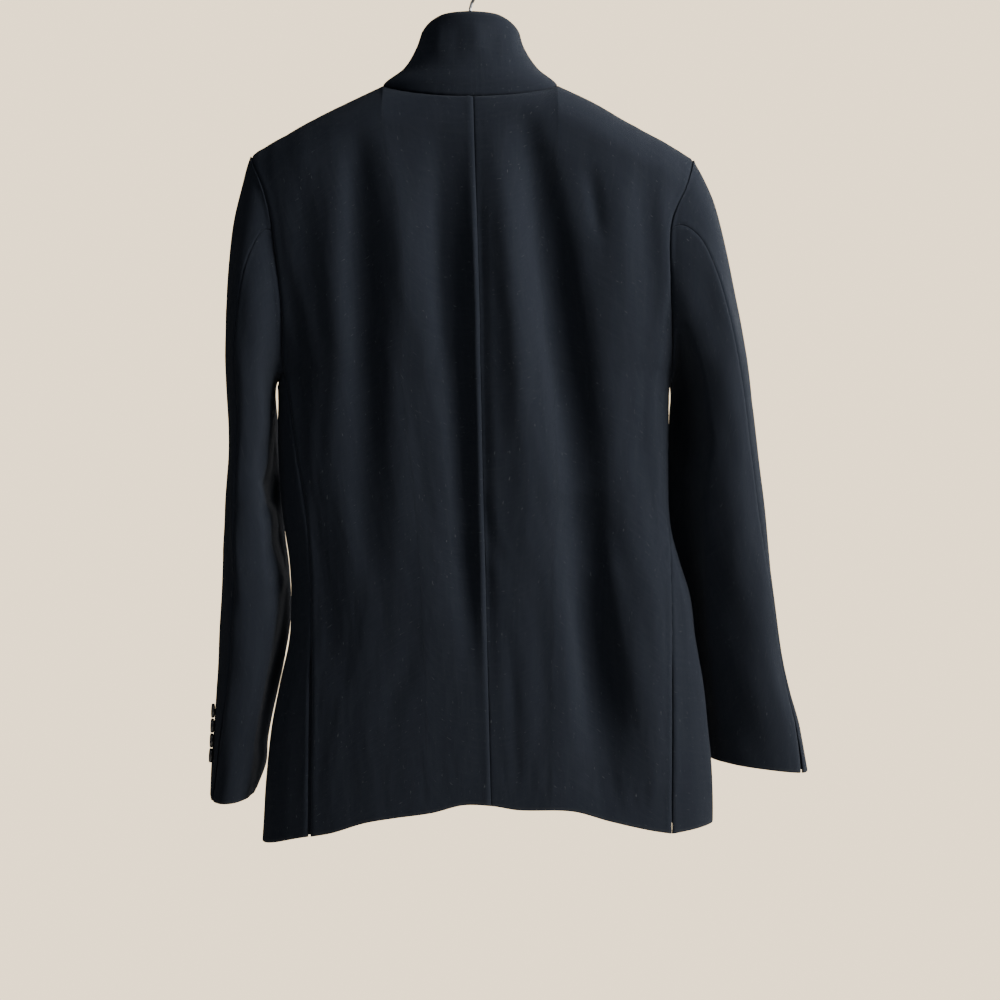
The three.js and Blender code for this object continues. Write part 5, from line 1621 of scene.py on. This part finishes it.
@dataclass
class FrontPieces:
    """What lies on the fronts: the lapels, the hip pockets' flaps and the breast pocket's welt."""

    room: Workroom
    thick: float = 1.9
    laid_on: float = 0.5
    lapel_reach: dict[Side, tuple[float, float]] = field(default_factory=lambda: {
        Side.LEFT: (-214, -552), Side.RIGHT: (-214, -505)})
    lapel_line: Table = field(default_factory=lambda: Table(["roll", "x", "z"], [
        (-214, 118, -230), (-228, 134, -254), (-242, 137, -272), (-300, 122, -318),
        (-380, 94, -392), (-460, 62, -468), (-520, 32, -526), (-560, 6, -563),
    ]))
    flap_x: tuple[float, float] = (46, 164)
    flap_top: float = -672
    flap_high: float = 52
    flap_corner: float = 8
    welt_x: tuple[float, float] = (136, 184)
    welt_low: float = -352
    welt_rise: float = 10
    welt_high: float = 24

    def laid(self, name: str, side: Side, x: Array, z: Array, edges: tuple, node: str) -> None:
        """Lays one piece of cloth on a front and dresses it.

        Args:
            name: the piece's name.
            side: which front it lies on.
            x: places across, rows by columns.
            z: heights.
            edges: the finish of the top, foot, first and last edge.
            node: the part's node that it stands for.
        """
        lift = self.laid_on + self.thick + 0 * x
        points = self.room.form.on_front(side, x, z, lift)
        normals = turned_out(grid_normals(points), np.array([0.0, -1.0, 0.0]))
        grid = ClothGrid(points, normals, self.thick, edges)
        grid.turned_extra = 0.0
        grid.finish_edges()
        self.room.cloth(name, grid, node)

    def lapel(self, side: Side) -> None:
        """One lapel, from its gorge to the button, between its roll line and its outer edge."""
        start, end = self.lapel_reach[side]
        down, part = edge_fractions(110, 340)[:, None], edge_fractions(40, 95)[None, :]
        roll = start + (end - start) * down
        roll_x = self.room.form.front_edge.at(side.value, roll)
        outer_x = side.sign * self.lapel_line.at("x", roll)
        x = roll_x + (outer_x - roll_x) * part
        z = roll + (self.lapel_line.at("z", roll) - roll) * part
        self.laid(f"lapel_{side.value}_cloth", side, x, z,
                  (Edge.TURNED, Edge.TURNED, Edge.PLAIN, Edge.TURNED), f"lapel_{side.value}")

    def flap(self, side: Side) -> None:
        """One hip pocket flap, with rounded lower corners."""
        down, across = edge_fractions(22, 52)[:, None], edge_fractions(46, 118)[None, :]
        x = side.sign * (self.flap_x[0] + (self.flap_x[1] - self.flap_x[0]) * across)
        corner = np.maximum(np.abs(across - 0.5) * 2 - 0.8, 0) / 0.2
        z = self.flap_top - (self.flap_high - self.flap_corner * corner**2) * down
        self.laid(f"pocket_flap_{side.value}_cloth", side, x, z, (Edge.SEAM,) + (Edge.TURNED,) * 3,
                  f"pocket_flap_{side.value}")

    def welt(self) -> None:
        """The breast pocket's welt on the wearer's left."""
        down, across = edge_fractions(12, 24)[:, None], edge_fractions(24, 48)[None, :]
        x = self.welt_x[0] + (self.welt_x[1] - self.welt_x[0]) * across + 0 * down
        z = self.welt_low + self.welt_rise * across + self.welt_high * (1 - down)
        self.laid("breast_welt_cloth", Side.LEFT, x, z, (Edge.TURNED,) + (Edge.SEAM,) * 3, "breast_welt")

    def build(self) -> None:
        """Builds and dresses all of them."""
        for side in Side:
            self.lapel(side)
            self.flap(side)
        self.welt()


@dataclass
class Buttons:
    """Four-hole resin buttons with a rim and two pairs of parallel strands of thread, where the part's
    own buttons are.
    """

    room: Workroom
    sides: int = 40
    hole_place: float = 0.19
    hole_radius: float = 0.075
    thread_radius: float = 0.32
    thread_beside: float = 0.35

    def outline(self, radius: float, thick: float) -> list[tuple[float, float]]:
        """The button's half section, from the middle of its back round to the middle of its face."""
        rim, dish = 0.12 * radius, 0.28 * thick
        return [(0, 0), (radius - rim, 0), (radius - 0.3 * rim, 0.12 * thick), (radius, 0.4 * thick),
                (radius, 0.7 * thick), (radius - 0.3 * rim, 0.93 * thick), (radius - rim, thick),
                (radius - 1.9 * rim, 0.95 * thick), (radius - 2.8 * rim, thick - dish),
                (0.35 * radius, thick - 1.1 * dish), (0, thick - 1.12 * dish)]

    def disc(self, name: str, radius: float, thick: float) -> bpy.types.Object:
        """Turns the outline and cuts the four holes through it."""
        build = bmesh.new()
        verts = [build.verts.new((x * MM, 0, z * MM)) for x, z in self.outline(radius, thick)]
        edges = [build.edges.new(pair) for pair in zip(verts, verts[1:])]
        bmesh.ops.spin(build, geom=verts + edges, axis=(0, 0, 1), cent=(0, 0, 0), angle=2 * math.pi,
                       steps=self.sides, use_merge=True)
        bmesh.ops.remove_doubles(build, verts=build.verts, dist=1e-7)
        bmesh.ops.recalc_face_normals(build, faces=build.faces)
        piece = self.made(name, build)
        build = bmesh.new()
        for turn in range(4):
            angle = math.pi / 4 + turn * math.pi / 2
            spot = (2 * radius * self.hole_place * math.cos(angle) * MM,
                    2 * radius * self.hole_place * math.sin(angle) * MM, thick * MM / 2)
            bmesh.ops.create_cone(build, cap_ends=True, segments=14, depth=3 * thick * MM,
                                  radius1=2 * radius * self.hole_radius * MM,
                                  radius2=2 * radius * self.hole_radius * MM,
                                  matrix=Matrix.Translation(spot))
        drill = self.made(f"{name}_drill", build)
        cut = piece.modifiers.new("holes", "BOOLEAN")
        cut.object = drill
        cut.solver = "EXACT"
        drilled = bpy.data.meshes.new_from_object(
            piece.evaluated_get(bpy.context.evaluated_depsgraph_get()))
        piece.modifiers.remove(cut)
        piece.data = drilled
        bpy.data.objects.remove(drill)
        drilled.shade_smooth()
        drilled.set_sharp_from_angle(angle=math.radians(50))
        return piece

    @staticmethod
    def made(name: str, build: bmesh.types.BMesh) -> bpy.types.Object:
        """Makes an object of a bmesh."""
        mesh = bpy.data.meshes.new(name)
        build.to_mesh(mesh)
        build.free()
        return linked(name, mesh)

    def place(self, node: str) -> None:
        """Dresses one of the part's button nodes, on its own place and facing the same way."""
        points = np.array([v.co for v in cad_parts[node].data.vertices]) / MM
        centre = (points.min(axis=0) + points.max(axis=0)) / 2
        away = points - points.mean(axis=0)
        spread, axes = np.linalg.eigh(away.T @ away)
        normal = axes[:, 0]
        out = centre - [np.sign(centre[0]) * 230, -20, centre[2]]
        if "front" in node:
            out = np.array([0.0, -1.0, 0.0])
        normal = normal * np.sign(normal @ out)
        reach = away @ normal
        radius = float(np.linalg.norm(away - np.outer(reach, normal), axis=1).max())
        thick = float(reach.max() - reach.min())
        turn = Vector(normal.tolist()).to_track_quat("Z", "Y").to_matrix().to_4x4()
        foot = Vector((points.mean(axis=0) + normal * reach.min()).tolist()) * MM
        seat = Matrix.Translation(foot) @ turn
        piece = self.disc(f"{node}_resin", radius, thick)
        piece.data.transform(seat)
        piece.data.materials.clear()
        piece.data.materials.append(self.room.resin)
        self.room.hand_over(piece, "buttons", node)
        self.thread(node, seat, radius, thick)

    def thread(self, node: str, seat: Matrix, radius: float, thick: float) -> None:
        """Sews the button on: two pairs of strands between its holes.

        Args:
            node: the button's node.
            seat: the button's place and turn.
            radius: its radius.
            thick: its thickness.
        """
        half, low, high = 2 * radius * self.hole_place / math.sqrt(2), thick * 0.1, thick * 0.86
        crown, beside = high + self.thread_beside, self.thread_beside
        paths = [[(-half, y, low), (-half, y, high), (-0.4 * half, y, crown),
                  (0.4 * half, y, crown), (half, y, high), (half, y, low)]
                 for y in (-half - beside, beside - half, half - beside, half + beside)]
        placed = [[tuple(seat @ (Vector(point) * MM) / MM) for point in path] for path in paths]
        piece = self.room.wire.run(f"{node}_thread", placed, Radius=self.thread_radius * MM, Sides=8,
                                   Material=self.room.button_thread)
        self.room.hand_over(piece, "buttons")

    def build(self) -> None:
        """Dresses the cuff buttons and the front buttons."""
        for side in Side:
            for number in range(1, 5):
                self.place(f"cuff_button_{side.value}_{number}")
        for number in (1, 2):
            self.place(f"front_button_{number}")


@dataclass
class Hanger:
    """The hanger's moulded arms and its wire hook, which show at the neck and above the collar."""

    room: Workroom

    def build(self) -> None:
        """Gives the part's own hanger nodes their finishes."""
        moulded = SmoothPart("moulded_black", (0.016, 0.016, 0.018, 1), (0.05, 0.05, 0.054, 1),
                             0.0, 0.42, 380.0).make()
        bright = SmoothPart("bright_wire", (0.55, 0.55, 0.56, 1), (0.36, 0.35, 0.34, 1),
                            1.0, 0.22, 900.0).make()
        for node, material in (("hanger_bar", moulded), ("hanger_hook", bright)):
            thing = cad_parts[node]
            thing.data.materials.clear()
            thing.data.materials.append(material)


@dataclass(frozen=True)
class Lamp:
    """A square area light aimed at the coat, with its places and size in metres."""

    name: str
    place: tuple[float, float, float]
    size: float
    watts: float
    colour: tuple[float, float, float]
    aim: tuple[float, float, float] = (-0.03, 0.0, -0.55)

    def make(self) -> None:
        """Adds the light."""
        light = bpy.data.lights.new(self.name, "AREA")
        light.size = self.size
        light.energy = self.watts
        light.color = self.colour
        turn = (Vector(self.aim) - Vector(self.place)).to_track_quat("-Z", "Y")
        linked(self.name, light).matrix_world = Matrix.Translation(self.place) @ turn.to_matrix().to_4x4()


LAMPS = (
    Lamp("key", (-2.2, 0.95, 0.7), 1.0, 128, (1.0, 0.98, 0.95)),
    Lamp("top", (-0.5, 1.0, 1.5), 1.2, 10, (0.95, 0.98, 1.0)),
    Lamp("fill", (1.8, 2.6, 0.0), 2.4, 5, (0.86, 0.92, 1.0)),
    Lamp("front_key", (-1.6, -2.2, 0.4), 1.6, 45, (1.0, 0.98, 0.95)),
    Lamp("rim", (-1.7, -0.5, 0.6), 0.9, 16, (0.96, 0.98, 1.0)),
)


@dataclass
class Studio:
    """A plain pale floor, pale surroundings, soft light and the photograph's view."""

    floor_z: float = -1.62
    floor_half: float = 3.4
    floor_colour: Colour = (0.66, 0.63, 0.58, 1)
    backdrop: Colour = (2.3, 1.85, 1.25, 1)
    ambient: Colour = (0.62, 0.64, 0.68, 1)
    ambient_strength: float = 0.1
    view_from: tuple[float, float, float] = (-0.0309, 4.03, -0.5686)
    lens: float = 140
    sensor: float = 36

    def floor(self) -> None:
        """Lays the floor, with faint unevenness in its paint."""
        mesh = bpy.data.meshes.new("floor")
        half, z = self.floor_half, self.floor_z
        mesh.from_pydata([(-half, -half, z), (half, -half, z), (half, half, z), (-half, half, z)],
                         [], [(0, 1, 2, 3)])
        floor = linked("floor", mesh)
        material, tree, shader = new_material("floor_paint")
        place, cloud = tree.nodes.new("ShaderNodeTexCoord"), tree.nodes.new("ShaderNodeTexNoise")
        cloud.inputs["Scale"].default_value = 3.0
        tree.links.new(place.outputs["Object"], cloud.inputs["Vector"])
        darker = tuple(0.95 * c for c in self.floor_colour[:3]) + (1,)
        tree.links.new(mix_colour(tree, cloud.outputs[0], self.floor_colour, darker),
                       shader.inputs["Base Color"])
        shader.inputs["Roughness"].default_value = 0.7
        mesh.materials.append(material)

    def surroundings(self) -> None:
        """A pale backdrop to the camera and a weaker, cooler light on the coat."""
        world = bpy.data.worlds.new("studio")
        world.use_nodes = True
        bpy.context.scene.world = world
        tree = world.node_tree
        seen, cast = tree.nodes["Background"], tree.nodes.new("ShaderNodeBackground")
        seen.inputs["Color"].default_value = self.backdrop
        cast.inputs["Color"].default_value = self.ambient
        cast.inputs["Strength"].default_value = self.ambient_strength
        ray, mix = tree.nodes.new("ShaderNodeLightPath"), tree.nodes.new("ShaderNodeMixShader")
        tree.links.new(ray.outputs["Is Camera Ray"], mix.inputs[0])
        tree.links.new(cast.outputs[0], mix.inputs[1])
        tree.links.new(seen.outputs[0], mix.inputs[2])
        tree.links.new(mix.outputs[0], tree.nodes["World Output"].inputs["Surface"])

    def view(self) -> None:
        """Sets the camera level behind the coat, as far off as the lens needs."""
        camera = bpy.data.cameras.new("photo_view")
        camera.sensor_width = self.sensor
        camera.lens = self.lens
        eye = linked("photo_view", camera)
        eye.location = self.view_from
        eye.rotation_euler = (math.pi / 2, 0, math.pi)
        bpy.context.scene.camera = eye

    def build(self) -> None:
        """Sets up the floor, the surroundings, the lamps and the camera."""
        self.floor()
        self.surroundings()
        for lamp in LAMPS:
            lamp.make()
        self.view()


def clear_scene() -> None:
    """Removes the start-up file's own objects."""
    for name in ("Cube", "Light", "Camera"):
        thing = bpy.data.objects.get(name)
        if thing is not None:
            bpy.data.objects.remove(thing)


def main() -> None:
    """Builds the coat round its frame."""
    logging.basicConfig(level=logging.INFO, format="%(name)s %(message)s")
    clear_scene()
    Studio().build()
    room = Workroom()
    body = Body(room)
    grids = body.build()
    for side in Side:
        Sleeve(room, side, grids[side], body.foot_row).build()
    Collar(room).build()
    FrontPieces(room).build()
    Buttons(room).build()
    Hanger(room).build()


if __name__ == "__main__":
    main()
